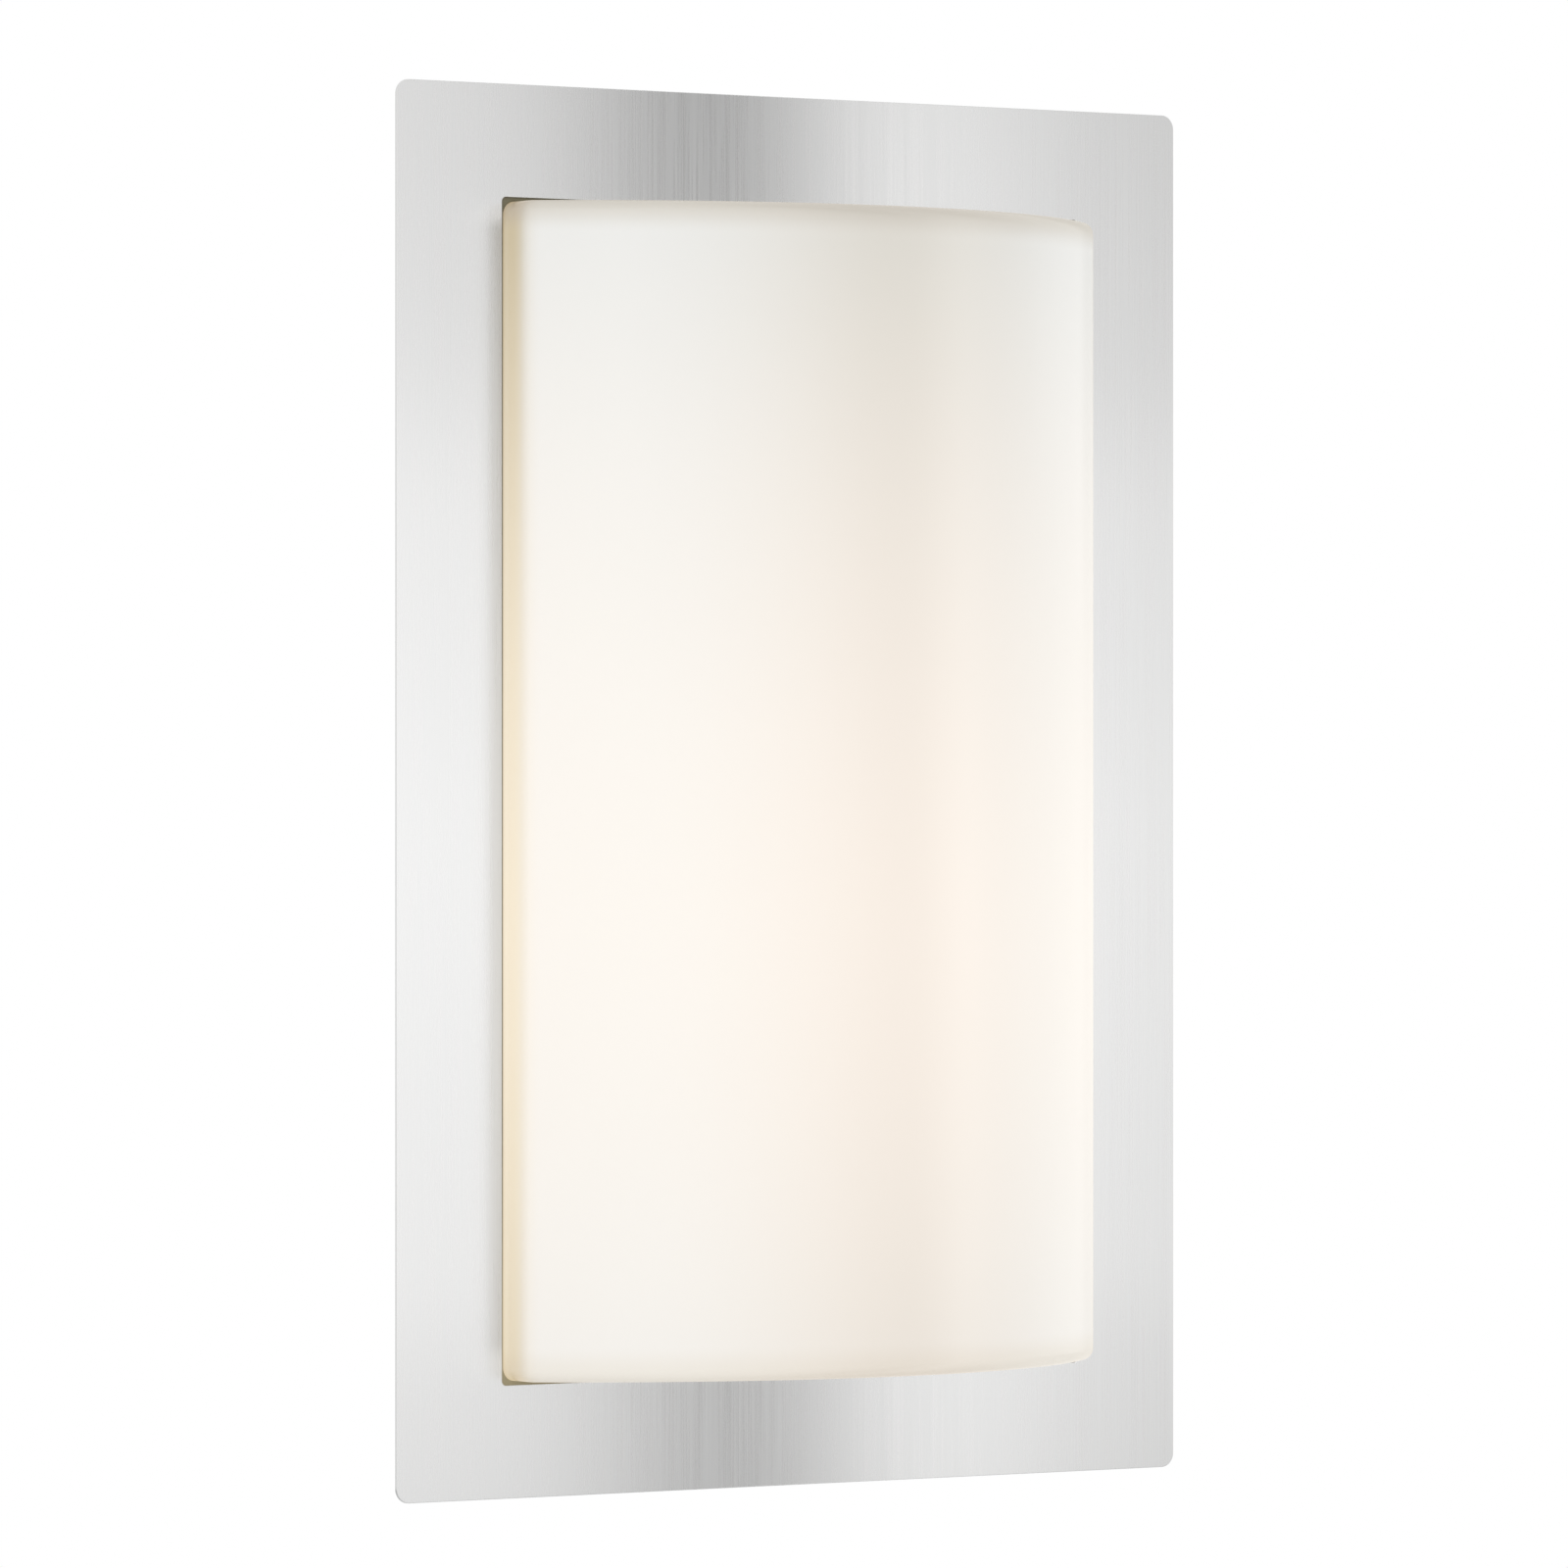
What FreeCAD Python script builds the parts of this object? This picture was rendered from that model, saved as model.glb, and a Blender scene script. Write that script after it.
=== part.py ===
import FreeCAD, Part

import math
import os

import Sketcher

# Flat framed wall light: a face plate with an opal glass shade bowed through it, hung by two
# hooks on a drafted wall pan and held at its foot by one screw.
# Millimetres. +Z is up, the wall is the plane y = 0 and the light looks along -Y, so every
# "depth" below is a distance in front of the wall. The origin is the middle of the wall face.

DIMENSIONS = {
    # face plate
    "plate_width": 263.0,
    "plate_height": 380.0,
    "plate_sheet": 1.0,
    "plate_front": 40.0,
    "plate_corner": 4.0,
    "plate_edge_bevel": 0.25,
    "opening_width": 194.9,
    "opening_height": 319.2,
    "opening_corner": 1.3,
    # glass shade
    "shade_width": 192.5,
    "shade_height": 317.0,
    "shade_crown": 46.6,
    "shade_side": 9.0,
    "shade_edge_round": 4.5,
    "shade_wall": 3.5,
    "rim_overhang": 5.25,
    "rim_thickness": 4.0,
    "rim_corner": 9.0,
    "shade_seal": 2.0,
    # clips that hold the glass rim against the plate
    "clip_sheet": 1.0,
    "clip_gap": 0.3,
    "clip_reach": 3.0,
    "clip_foot": 6.5,
    "clip_width": 12.0,
    "clip_side_spacing": 180.0,
    "clip_end_spacing": 100.0,
    "clip_bend": 0.4,
    "clip_stud_radius": 1.5,
    "clip_stud_length": 4.6,
    "clip_stud_offset": 4.7,
    "clip_nut_flats": 5.5,
    "clip_nut_thickness": 2.4,
    # wall pan
    "pan_back": 2.0,
    "pan_back_width": 200.0,
    "pan_back_height": 324.0,
    "pan_back_corner": 10.0,
    "pan_shoulder": 20.0,
    "pan_front_width": 226.0,
    "pan_front_height": 350.0,
    "pan_front_corner": 16.0,
    "pan_rim": 34.5,
    "pan_sheet": 1.2,
    "pan_back_round": 4.0,
    "slot_spacing_across": 140.0,
    "slot_spacing_up": 250.0,
    "slot_width": 5.5,
    "slot_length": 12.0,
    "wall_seal_width": 8.0,
    "rim_seal_front": 38.2,
    "rim_seal_depth": 6.7,
    "rim_seal_cheek": 2.0,
    # cable entry
    "cable_height": 136.0,
    "cable_hole_radius": 8.0,
    "cable_bore_radius": 4.6,
    "grommet_flange_radius": 10.5,
    "grommet_flange": 1.4,
    # hinge: hooks of the frame on pins of the pan
    "hinge_height": 182.0,
    "hinge_spacing": 140.0,
    "hinge_pin_radius": 1.5,
    "hinge_clearance": 0.1,
    "hook_strip": 1.6,
    "hook_width": 14.0,
    "hook_lip": 1.8,
    "hook_above_seal": 1.3,
    "ear_sheet": 1.5,
    "ear_gap": 0.3,
    "ear_round": 2.7,
    "ear_rear": 21.0,
    "ear_slope": 6.0,
    "ear_tail": 2.5,
    "ear_above_seal": 0.9,
    "ear_behind_seal": 1.0,
    "pin_head": 0.8,
    # lock at the foot
    "lock_depth": 26.5,
    "lock_block_width": 18.0,
    "lock_block_length": 9.5,
    "lock_block_height": 5.7,
    "lug_sheet": 1.5,
    "lug_width": 16.0,
    "lug_leg": 7.0,
    "lug_reach": 17.0,
    "lug_gap": 0.3,
    "screw_radius": 2.0,
    "screw_length": 12.0,
    "screw_clearance": 0.05,
    "screw_slot_width": 4.6,
    "screw_head_radius": 3.9,
    "screw_head_height": 2.6,
    "screw_head_bevel": 0.8,
    "screw_tip_bevel": 0.5,
    "screw_socket_flats": 2.5,
    "screw_socket_depth": 1.5,
    "washer_radius": 4.5,
    "washer_sheet": 0.8,
    "washer_gap": 0.1,
    # lamp and lampholder, on one upright axis
    "lamp_depth": 42.0,
    "lamp_light_height": -30.0,
    "globe_radius": 30.0,
    "globe_wall": 1.0,
    "globe_neck_radius": 13.3,
    "cap_base_height": 21.0,
    "cap_radius": 13.15,
    "cap_collar_radius": 13.9,
    "cap_collar": 2.4,
    "cap_length": 22.0,
    "cap_insulator_height": 3.0,
    "cap_insulator_radius": 9.5,
    "cap_contact_radius": 4.8,
    "cap_contact_height": 1.0,
    "cap_shoulder": 1.5,
    "cap_collar_bevel": 0.7,
    "holder_mouth_height": 24.0,
    "holder_radius": 20.5,
    "holder_top_radius": 17.0,
    "holder_shoulder_height": 56.0,
    "holder_top_height": 70.0,
    "holder_floor_height": 50.0,
    "holder_edge": 1.5,
    "holder_step": 4.0,
    "shell_inner_radius": 13.4,
    "shell_sheet": 0.5,
    "shell_length": 21.0,
    "tongue_sheet": 0.5,
    "tongue_gap": 0.15,
    "tongue_width": 6.0,
    "tongue_foot": 9.0,
    "tongue_heel": 5.0,
    "tongue_touch": 0.5,
    "tongue_tip": 4.0,
    "tongue_curl": 0.4,
    "bracket_sheet": 1.5,
    "bracket_width": 38.0,
    "bracket_arm": 56.0,
    "bracket_leg": 28.0,
    "window_width": 18.0,
    "window_front": 7.0,
    "window_rear": 9.0,
    "holder_screw_offset": 13.0,
    "holder_screw_depth": 8.0,
    "bracket_screw_offset": 11.0,
    "bracket_screw_height": 90.0,
    # slotted screws
    "small_screw_radius": 1.5,
    "small_head_radius": 2.8,
    "small_head_height": 1.9,
    "bracket_screw_radius": 2.0,
    "bracket_head_radius": 3.6,
    "bracket_head_height": 2.4,
    "screw_wall_gap": 1.0,
    "slot_cut": 0.8,
    # supply terminals
    "block_across": 5.0,
    "block_height": 113.0,
    "block_width": 31.0,
    "block_rise": 20.0,
    "block_depth": 15.0,
    "web_depth": 6.5,
    "pole_spacing": 10.0,
    "pole_width": 8.6,
    "pole_bevel": 1.2,
    "chimney_radius": 2.2,
    "chimney_depth": 6.0,
    "chimney_offset": 5.5,
    "fixing_recess_radius": 3.0,
    "terminal_screw_radius": 2.0,
    "terminal_screw_height": 3.0,
    "wire_depth": 8.7,
    "wire_radius": 1.3,
    "wire_hole_radius": 1.7,
    "wire_hole_depth": 5.0,
    # lampholder terminals
    "lead_spacing": 10.0,
    "lead_terminal_width": 6.0,
    "lead_terminal_length": 7.0,
    "lead_terminal_height": 6.0,
    "lead_height": 73.0,
    "lead_hole_depth": 4.0,
    "lead_screw_radius": 1.3,
    "lead_screw_length": 2.2,
    "lead_screw_depth": 1.0,
    "lead_slot_depth": 0.6,
    # earth point
    "earth_across": 44.0,
    "earth_height": 108.0,
    "earth_stud_radius": 2.0,
    "earth_stud_length": 11.0,
    "earth_nut_flats": 7.0,
    "earth_nut_thickness": 3.4,
    "earth_ring_radius": 4.0,
    "earth_ring_sheet": 0.8,
    "earth_barrel_radius": 2.0,
    "earth_barrel_top": 103.5,
    "earth_barrel_length": 6.5,
    "earth_wire_end": 102.5,
    "earth_wire_low": 73.4,
}

TINY = 1e-6
PIPE_TOLERANCE = 0.01

doc = FreeCAD.newDocument("WallLight")
sheet = doc.addObject("Spreadsheet::Sheet", "Dimensions")
for row, (alias, length) in enumerate(DIMENSIONS.items(), start=1):
    sheet.set(f"A{row}", alias.replace("_", " "))
    sheet.set(f"B{row}", str(length))
    sheet.setAlias(f"B{row}", alias)
doc.recompute()

nodes = []


# ---------------------------------------------------------------- sizes that follow the sheet


class Size:
    """A length with both its value and the sheet formula that it follows."""

    def __init__(self, value, formula):
        self.value = value
        self.formula = formula

    @staticmethod
    def of(item):
        """Take a Size as it is and a plain number as a Size."""
        if isinstance(item, Size):
            return item
        return Size(float(item), repr(float(item)))

    def __add__(self, other):
        other = Size.of(other)
        return Size(self.value + other.value, f"({self.formula} + {other.formula})")

    def __sub__(self, other):
        other = Size.of(other)
        return Size(self.value - other.value, f"({self.formula} - {other.formula})")

    def __mul__(self, other):
        other = Size.of(other)
        return Size(self.value * other.value, f"({self.formula} * {other.formula})")

    def __truediv__(self, other):
        other = Size.of(other)
        return Size(self.value / other.value, f"({self.formula} / {other.formula})")

    def __neg__(self):
        return Size(-self.value, f"(0 - {self.formula})")

    def __radd__(self, other):
        return Size.of(other) + self

    def __rsub__(self, other):
        return Size.of(other) - self

    def __rmul__(self, other):
        return Size.of(other) * self


def root(size):
    """Square root of a Size."""
    return Size(math.sqrt(size.value), f"sqrt({size.formula})")


def dim(alias):
    """The named cell of the sheet as a Size."""
    return Size(float(sheet.get(alias)), f"Dimensions.{alias}")


def bind(item, property_path, size):
    """Let a property of an object follow a Size."""
    item.setExpression(property_path, Size.of(size).formula)


# ---------------------------------------------------------------- sketches


def new_body(label):
    """A node made of PartDesign features."""
    body = doc.addObject("PartDesign::Body", label)
    body.Label = label
    return body


def new_sketch(body, role, offset=0.0):
    """A sketch on one of the body's own origin planes, moved along that plane's normal.

    The normal of XZ_Plane is -Y, so there the offset is a depth in front of the wall.
    """
    sketch = body.newObject("Sketcher::SketchObject", "Sketch")
    plane = next(item for item in body.Origin.OriginFeatures if item.Role == role)
    sketch.AttachmentSupport = [(plane, "")]
    sketch.MapMode = "FlatFace"
    bind(sketch, "AttachmentOffset.Base.z", offset)
    return sketch


def tie(sketch, kind, *ends_and_size):
    """Add a dimensional constraint that follows a Size."""
    *ends, size = ends_and_size
    size = Size.of(size)
    index = sketch.addConstraint(Sketcher.Constraint(kind, *ends, size.value))
    sketch.setExpression(f"Constraints[{index}]", size.formula)


def tie_point(sketch, geometry, end, across, up):
    """Hold one point of the sketch at a place measured from the sketch origin."""
    tie(sketch, "DistanceX", geometry, end, across)
    tie(sketch, "DistanceY", geometry, end, up)


def point(across, up):
    """A vector in sketch coordinates from two Sizes."""
    return FreeCAD.Vector(Size.of(across).value, Size.of(up).value, 0)


def draw_outline(sketch, corners):
    """A closed outline of straight lines through the given corners."""
    first = sketch.GeometryCount
    count = len(corners)
    for index, corner in enumerate(corners):
        following = corners[(index + 1) % count]
        sketch.addGeometry(Part.LineSegment(point(*corner), point(*following)))
    for index, corner in enumerate(corners):
        line = first + index
        following = first + (index + 1) % count
        sketch.addConstraint(Sketcher.Constraint("Coincident", line, 2, following, 1))
        tie_point(sketch, line, 1, *corner)


def draw_box(sketch, left, right, low, high):
    """A rectangle between two places across and two places up."""
    draw_outline(sketch, [(left, low), (right, low), (right, high), (left, high)])


def draw_circle(sketch, across, up, radius):
    """A circle about a given centre."""
    circle = sketch.addGeometry(
        Part.Circle(point(across, up), FreeCAD.Vector(0, 0, 1), Size.of(radius).value)
    )
    tie_point(sketch, circle, 3, across, up)
    tie(sketch, "Radius", circle, radius)


def add_arc(sketch, centre, radius, start, end):
    """Geometry of an arc, its angles in degrees anticlockwise."""
    circle = Part.Circle(centre, FreeCAD.Vector(0, 0, 1), radius)
    return sketch.addGeometry(
        Part.ArcOfCircle(circle, math.radians(start), math.radians(end))
    )


def draw_rounded_rectangle(sketch, width, height, radius):
    """A rectangle about the sketch origin with four equal round corners."""
    half_width = Size.of(width) / 2
    half_height = Size.of(height) / 2
    wide = half_width.value
    high = half_height.value
    curve = Size.of(radius).value
    sides = (
        ((wide - curve, high), (curve - wide, high)),
        ((-wide, high - curve), (-wide, curve - high)),
        ((curve - wide, -high), (wide - curve, -high)),
        ((wide, curve - high), (wide, high - curve)),
    )
    lines = [
        sketch.addGeometry(Part.LineSegment(point(*start), point(*end)))
        for start, end in sides
    ]
    centres = (
        (curve - wide, high - curve),
        (curve - wide, curve - high),
        (wide - curve, curve - high),
        (wide - curve, high - curve),
    )
    arcs = [
        add_arc(sketch, point(*centre), curve, 90 * index + 90, 90 * index + 180)
        for index, centre in enumerate(centres)
    ]
    for index in range(4):
        following = lines[(index + 1) % 4]
        sketch.addConstraint(
            Sketcher.Constraint("Tangent", lines[index], 2, arcs[index], 1)
        )
        sketch.addConstraint(Sketcher.Constraint("Tangent", arcs[index], 2, following, 1))
        tie(sketch, "Radius", arcs[index], radius)
    tie(sketch, "DistanceY", lines[0], 1, half_height)
    tie(sketch, "DistanceY", lines[2], 1, -half_height)
    tie(sketch, "DistanceX", lines[1], 1, -half_width)
    tie(sketch, "DistanceX", lines[3], 1, half_width)
    sketch.addConstraint(Sketcher.Constraint("Horizontal", lines[0]))
    sketch.addConstraint(Sketcher.Constraint("Vertical", lines[1]))


def draw_slot(sketch, across, up, length, width):
    """A slot with round ends that lies across the sketch."""
    radius = Size.of(width) / 2
    reach = (Size.of(length) - width) / 2
    right = point(across + reach, up)
    left = point(across - reach, up)
    above = FreeCAD.Vector(0, radius.value, 0)
    top = sketch.addGeometry(Part.LineSegment(right + above, left + above))
    end_left = add_arc(sketch, left, radius.value, 90, 270)
    bottom = sketch.addGeometry(Part.LineSegment(left - above, right - above))
    end_right = add_arc(sketch, right, radius.value, 270, 450)
    chain = (top, end_left, bottom, end_right)
    for index, item in enumerate(chain):
        following = chain[(index + 1) % 4]
        sketch.addConstraint(Sketcher.Constraint("Tangent", item, 2, following, 1))
    tie_point(sketch, end_left, 3, across - reach, up)
    tie_point(sketch, end_right, 3, across + reach, up)
    tie(sketch, "Radius", end_left, radius)


def draw_route(sketch, corners, share=0.45):
    """Straight runs joined by tangent arcs, each as large as its two runs allow."""
    spots = [point(*corner) for corner in corners]
    steps = [after - before for before, after in zip(spots, spots[1:])]
    entries = []
    exits = []
    radii = []
    for index in range(1, len(spots) - 1):
        run_in = steps[index - 1]
        run_out = steps[index]
        trim = share * min(run_in.Length, run_out.Length)
        entries.append(spots[index] - FreeCAD.Vector(run_in).normalize() * trim)
        exits.append(spots[index] + FreeCAD.Vector(run_out).normalize() * trim)
        radii.append(trim / math.tan(run_in.getAngle(run_out) / 2))
    starts = [spots[0]] + exits
    ends = entries + [spots[-1]]
    lines = [
        sketch.addGeometry(Part.LineSegment(start, end)) for start, end in zip(starts, ends)
    ]
    for index, radius in enumerate(radii):
        corner = spots[index + 1]
        inward = (entries[index] + exits[index]) / 2 - corner
        reach = math.hypot(radius, (entries[index] - corner).Length)
        middle = corner + inward.normalize() * (reach - radius)
        bend = sketch.addGeometry(Part.Arc(entries[index], middle, exits[index]))
        left_turn = steps[index].cross(steps[index + 1]).z > 0
        first, last = (1, 2) if left_turn else (2, 1)
        sketch.addConstraint(Sketcher.Constraint("Tangent", lines[index], 2, bend, first))
        sketch.addConstraint(Sketcher.Constraint("Tangent", bend, last, lines[index + 1], 1))
        tie(sketch, "Radius", bend, radius)
        mark = sketch.addGeometry(Part.Point(corner), True)
        tie_point(sketch, mark, 1, *corners[index + 1])
        for line in (lines[index], lines[index + 1]):
            sketch.addConstraint(Sketcher.Constraint("PointOnObject", mark, 1, line))
    tie_point(sketch, lines[0], 1, *corners[0])
    tie_point(sketch, lines[-1], 2, *corners[-1])
    return radii


def draw_hexagon(sketch, across, up, flats):
    """A regular hexagon with two of its flats facing across the sketch."""
    half = Size.of(flats) / 2
    corner = Size.of(flats) / math.sqrt(3)
    corners = [
        (across + half, up - corner / 2),
        (across + half, up + corner / 2),
        (Size.of(across), up + corner),
        (across - half, up + corner / 2),
        (across - half, up - corner / 2),
        (Size.of(across), up - corner),
    ]
    draw_outline(sketch, corners)


# ---------------------------------------------------------------- features


def pad(body, sketch, length, symmetric=False, reverse=False):
    """Extrude a sketch along its normal, or half each way."""
    feature = body.newObject("PartDesign::Pad", "Pad")
    feature.Profile = sketch
    feature.SideType = "Symmetric" if symmetric else "One side"
    feature.Reversed = reverse
    bind(feature, "Length", length)
    doc.recompute()
    return feature


def pocket(body, sketch, length, symmetric=False, reverse=False):
    """Cut a sketch into the body against its normal, and make sure that it cut."""
    before = body.Shape.Volume
    feature = body.newObject("PartDesign::Pocket", "Pocket")
    feature.Profile = sketch
    feature.SideType = "Symmetric" if symmetric else "One side"
    feature.Reversed = reverse
    bind(feature, "Length", length)
    doc.recompute()
    if not body.Shape.Volume < before - TINY:
        raise RuntimeError(f"a pocket in {body.Label} cuts nothing")
    return feature


def loft(body, kind, sections):
    """Join rounded rectangles at two depths, each given as depth, width, height, corner."""
    sketches = []
    for depth, width, height, corner in sections:
        sketch = new_sketch(body, "XZ_Plane", depth)
        draw_rounded_rectangle(sketch, width, height, corner)
        sketches.append(sketch)
    feature = body.newObject(f"PartDesign::{kind}", kind)
    feature.Profile = sketches[0]
    feature.Sections = [(sketches[1], [""])]
    feature.Ruled = True
    doc.recompute()
    return feature


def pipe(body, profile, spine):
    """Sweep a profile along a sketched route, and make sure that the tube is whole."""
    feature = body.newObject("PartDesign::AdditivePipe", "Pipe")
    feature.Profile = profile
    feature.Spine = (spine, [])
    doc.recompute()
    section = Part.Face(profile.Shape.Wires[0]).Area
    expected = section * spine.Shape.Length
    if abs(body.Shape.Volume / expected - 1) > PIPE_TOLERANCE:
        raise RuntimeError(f"the tube of {body.Label} is not its section times its length")
    return feature


def revolve(body, sketch, axis="V_Axis"):
    """Turn a sketch once about one of its own axes."""
    feature = body.newObject("PartDesign::Revolution", "Revolution")
    feature.Profile = sketch
    feature.ReferenceAxis = (sketch, [axis])
    feature.Angle = 360.0
    doc.recompute()
    return feature


def edges_of(feature, wanted):
    """Names of the feature's edges that pass a test."""
    return [
        f"Edge{index}"
        for index, edge in enumerate(feature.Shape.Edges, start=1)
        if wanted(edge)
    ]


def dress(body, kind, size_name, base, names, size):
    """Round or bevel some edges of the body's last feature."""
    feature = body.newObject(f"PartDesign::{kind}", kind)
    feature.Base = (base, names)
    bind(feature, size_name, size)
    doc.recompute()
    return feature


def fillet(body, base, names, radius):
    """Round edges."""
    return dress(body, "Fillet", "Radius", base, names, radius)


def chamfer(body, base, names, size):
    """Bevel edges."""
    return dress(body, "Chamfer", "Size", base, names, size)


def keep(item):
    """Count an object among the nodes that are written."""
    nodes.append(item)
    return item


def at_depth(edge, depth):
    """True for an edge that lies wholly at one depth in front of the wall."""
    box = edge.BoundBox
    return abs(box.YMin + depth) < 1e-4 and abs(box.YMax + depth) < 1e-4


def place(item, across=0.0, depth=0.0, up=0.0, turn=0.0):
    """Set an object at a place on the wall, turned about the axis that leaves the wall."""
    item.Placement = FreeCAD.Placement(
        FreeCAD.Vector(0, 0, 0), FreeCAD.Rotation(FreeCAD.Vector(0, 1, 0), turn)
    )
    bind(item, "Placement.Base.x", across)
    bind(item, "Placement.Base.y", -Size.of(depth))
    bind(item, "Placement.Base.z", up)


def group_of(label, master, places):
    """One node that holds a separate copy of a master piece at each place."""
    copies = []
    for spot in places:
        copy = doc.addObject("App::Link", f"{label}_copy")
        copy.LinkedObject = master
        place(copy, **spot)
        copies.append(copy)
    compound = doc.addObject("Part::Compound", label)
    compound.Label = label
    compound.Links = copies
    doc.recompute()
    return keep(compound)


# ---------------------------------------------------------------- derived sizes

plate_back = dim("plate_front") - dim("plate_sheet")
rim_front = plate_back - dim("shade_seal")
rim_back = rim_front - dim("rim_thickness")
rim_width = dim("shade_width") + 2 * dim("rim_overhang")
rim_height = dim("shade_height") + 2 * dim("rim_overhang")
floor_front = dim("pan_back") + dim("pan_sheet")
hinge_depth = plate_back - dim("hook_strip") - dim("hinge_clearance") - dim("hinge_pin_radius")
pan_top = dim("pan_front_height") / 2
lock_face = -pan_top - dim("lock_block_height")
lug_top = lock_face - dim("lug_gap")
washer_top = lug_top - dim("lug_sheet") - dim("lug_gap")
head_top = washer_top - dim("washer_sheet") - dim("washer_gap")
cap_tip = dim("cap_base_height") + dim("cap_length")
contact_base = cap_tip + dim("cap_insulator_height")
contact_tip = contact_base + dim("cap_contact_height")


# ---------------------------------------------------------------- front frame


def make_face_plate():
    """Stainless sheet with round outer corners and a window for the shade."""
    body = new_body("face_plate")
    outline = new_sketch(body, "XZ_Plane", plate_back)
    draw_rounded_rectangle(
        outline, dim("plate_width"), dim("plate_height"), dim("plate_corner")
    )
    draw_rounded_rectangle(
        outline, dim("opening_width"), dim("opening_height"), dim("opening_corner")
    )
    sheet_metal = pad(body, outline, dim("plate_sheet"))
    front = dim("plate_front").value
    names = edges_of(sheet_metal, lambda edge: at_depth(edge, front))
    chamfer(body, sheet_metal, names, dim("plate_edge_bevel"))
    return keep(body)


def make_glass_shade():
    """Opal glass box, its front bowed about an upright axis, with a rim behind the plate."""
    body = new_body("glass_shade")
    half_width = dim("shade_width") / 2
    crown_depth = dim("plate_front") + dim("shade_crown")
    side_depth = dim("plate_front") + dim("shade_side")
    sagitta = dim("shade_crown") - dim("shade_side")
    bow_radius = (half_width * half_width + sagitta * sagitta) / (2 * sagitta)
    section = new_sketch(body, "XY_Plane")
    back_left = (-half_width, -rim_back)
    back_right = (half_width, -rim_back)
    front_right = (half_width, -side_depth)
    front_left = (-half_width, -side_depth)
    for start, end in (
        (front_left, back_left),
        (back_left, back_right),
        (back_right, front_right),
    ):
        section.addGeometry(Part.LineSegment(point(*start), point(*end)))
    centre = point(0, bow_radius - crown_depth)
    half_turn = math.degrees(math.asin((half_width / bow_radius).value))
    bow = add_arc(section, centre, bow_radius.value, 270 - half_turn, 270 + half_turn)
    for line in (0, 1):
        section.addConstraint(Sketcher.Constraint("Coincident", line, 2, line + 1, 1))
    section.addConstraint(Sketcher.Constraint("Coincident", bow, 1, 0, 1))
    section.addConstraint(Sketcher.Constraint("Coincident", bow, 2, 2, 2))
    tie_point(section, 0, 1, *front_left)
    tie_point(section, 1, 1, *back_left)
    tie_point(section, 1, 2, *back_right)
    tie_point(section, 2, 2, *front_right)
    tie(section, "Radius", bow, bow_radius)
    block = pad(body, section, dim("shade_height"), symmetric=True)
    back = rim_back.value
    names = edges_of(block, lambda edge: not at_depth(edge, back))
    rounded = fillet(body, block, names, dim("shade_edge_round"))
    back_faces = [
        f"Face{index}"
        for index, face in enumerate(rounded.Shape.Faces, start=1)
        if abs(face.BoundBox.YMin + back) < 1e-4
    ]
    hollow = body.newObject("PartDesign::Thickness", "Hollow")
    hollow.Base = (rounded, back_faces)
    hollow.Reversed = True
    hollow.Join = "Arc"
    bind(hollow, "Value", dim("shade_wall"))
    doc.recompute()
    rim = new_sketch(body, "XZ_Plane", rim_back)
    draw_rounded_rectangle(rim, rim_width, rim_height, dim("rim_corner"))
    inset = 2 * dim("shade_wall")
    draw_rounded_rectangle(
        rim,
        dim("shade_width") - inset,
        dim("shade_height") - inset,
        dim("shade_edge_round") - dim("shade_wall"),
    )
    pad(body, rim, dim("rim_thickness"))
    return keep(body)


def make_shade_gasket():
    """Soft ring between the glass rim and the back of the plate."""
    body = new_body("shade_gasket")
    ring = new_sketch(body, "XZ_Plane", rim_front)
    draw_rounded_rectangle(ring, rim_width, rim_height, dim("rim_corner"))
    draw_rounded_rectangle(
        ring, dim("shade_width"), dim("shade_height"), dim("shade_edge_round")
    )
    pad(body, ring, dim("shade_seal"))
    return keep(body)


def clip_places():
    """Where the clips stand round the glass rim: two on each long and each short side."""
    places = []
    for side, turn in ((1, 0.0), (-1, 180.0)):
        for end in (1, -1):
            spot = {
                "across": side * rim_width / 2,
                "up": end * dim("clip_side_spacing") / 2,
                "turn": turn,
            }
            places.append(spot)
    for end, turn in ((1, -90.0), (-1, 90.0)):
        for side in (1, -1):
            spot = {
                "across": side * dim("clip_end_spacing") / 2,
                "up": end * rim_height / 2,
                "turn": turn,
            }
            places.append(spot)
    return places


def make_shade_clips():
    """Stepped clips with a foot on the plate and a tongue over the glass rim.

    The master is drawn from the edge of the rim, which is its x = 0, outwards along +X.
    """
    master = new_body("shade_clip")
    section = new_sketch(master, "XY_Plane")
    riser = dim("clip_gap") + dim("clip_sheet")
    tongue_back = rim_back - dim("clip_sheet")
    foot_back = plate_back - dim("clip_sheet")
    corners = [
        (dim("clip_gap"), -plate_back),
        (riser + dim("clip_foot"), -plate_back),
        (riser + dim("clip_foot"), -foot_back),
        (riser, -foot_back),
        (riser, -tongue_back),
        (-dim("clip_reach"), -tongue_back),
        (-dim("clip_reach"), -rim_back),
        (dim("clip_gap"), -rim_back),
    ]
    draw_outline(section, corners)
    strip = pad(master, section, dim("clip_width"), symmetric=True)
    bends = ((dim("clip_gap"), plate_back), (riser, foot_back), (riser, tongue_back))

    def is_bend(edge):
        box = edge.BoundBox
        along = box.ZLength > dim("clip_width").value - TINY
        return along and any(
            abs(box.XMin - across.value) < 1e-4 and abs(box.YMin + depth.value) < 1e-4
            for across, depth in bends
        )

    fillet(master, strip, edges_of(strip, is_bend), dim("clip_bend"))
    hole = new_sketch(master, "XZ_Plane", plate_back)
    draw_circle(hole, dim("clip_stud_offset"), 0, dim("clip_stud_radius"))
    pocket(master, hole, dim("clip_sheet") * 2)
    return group_of("shade_clips", master, clip_places())


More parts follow.
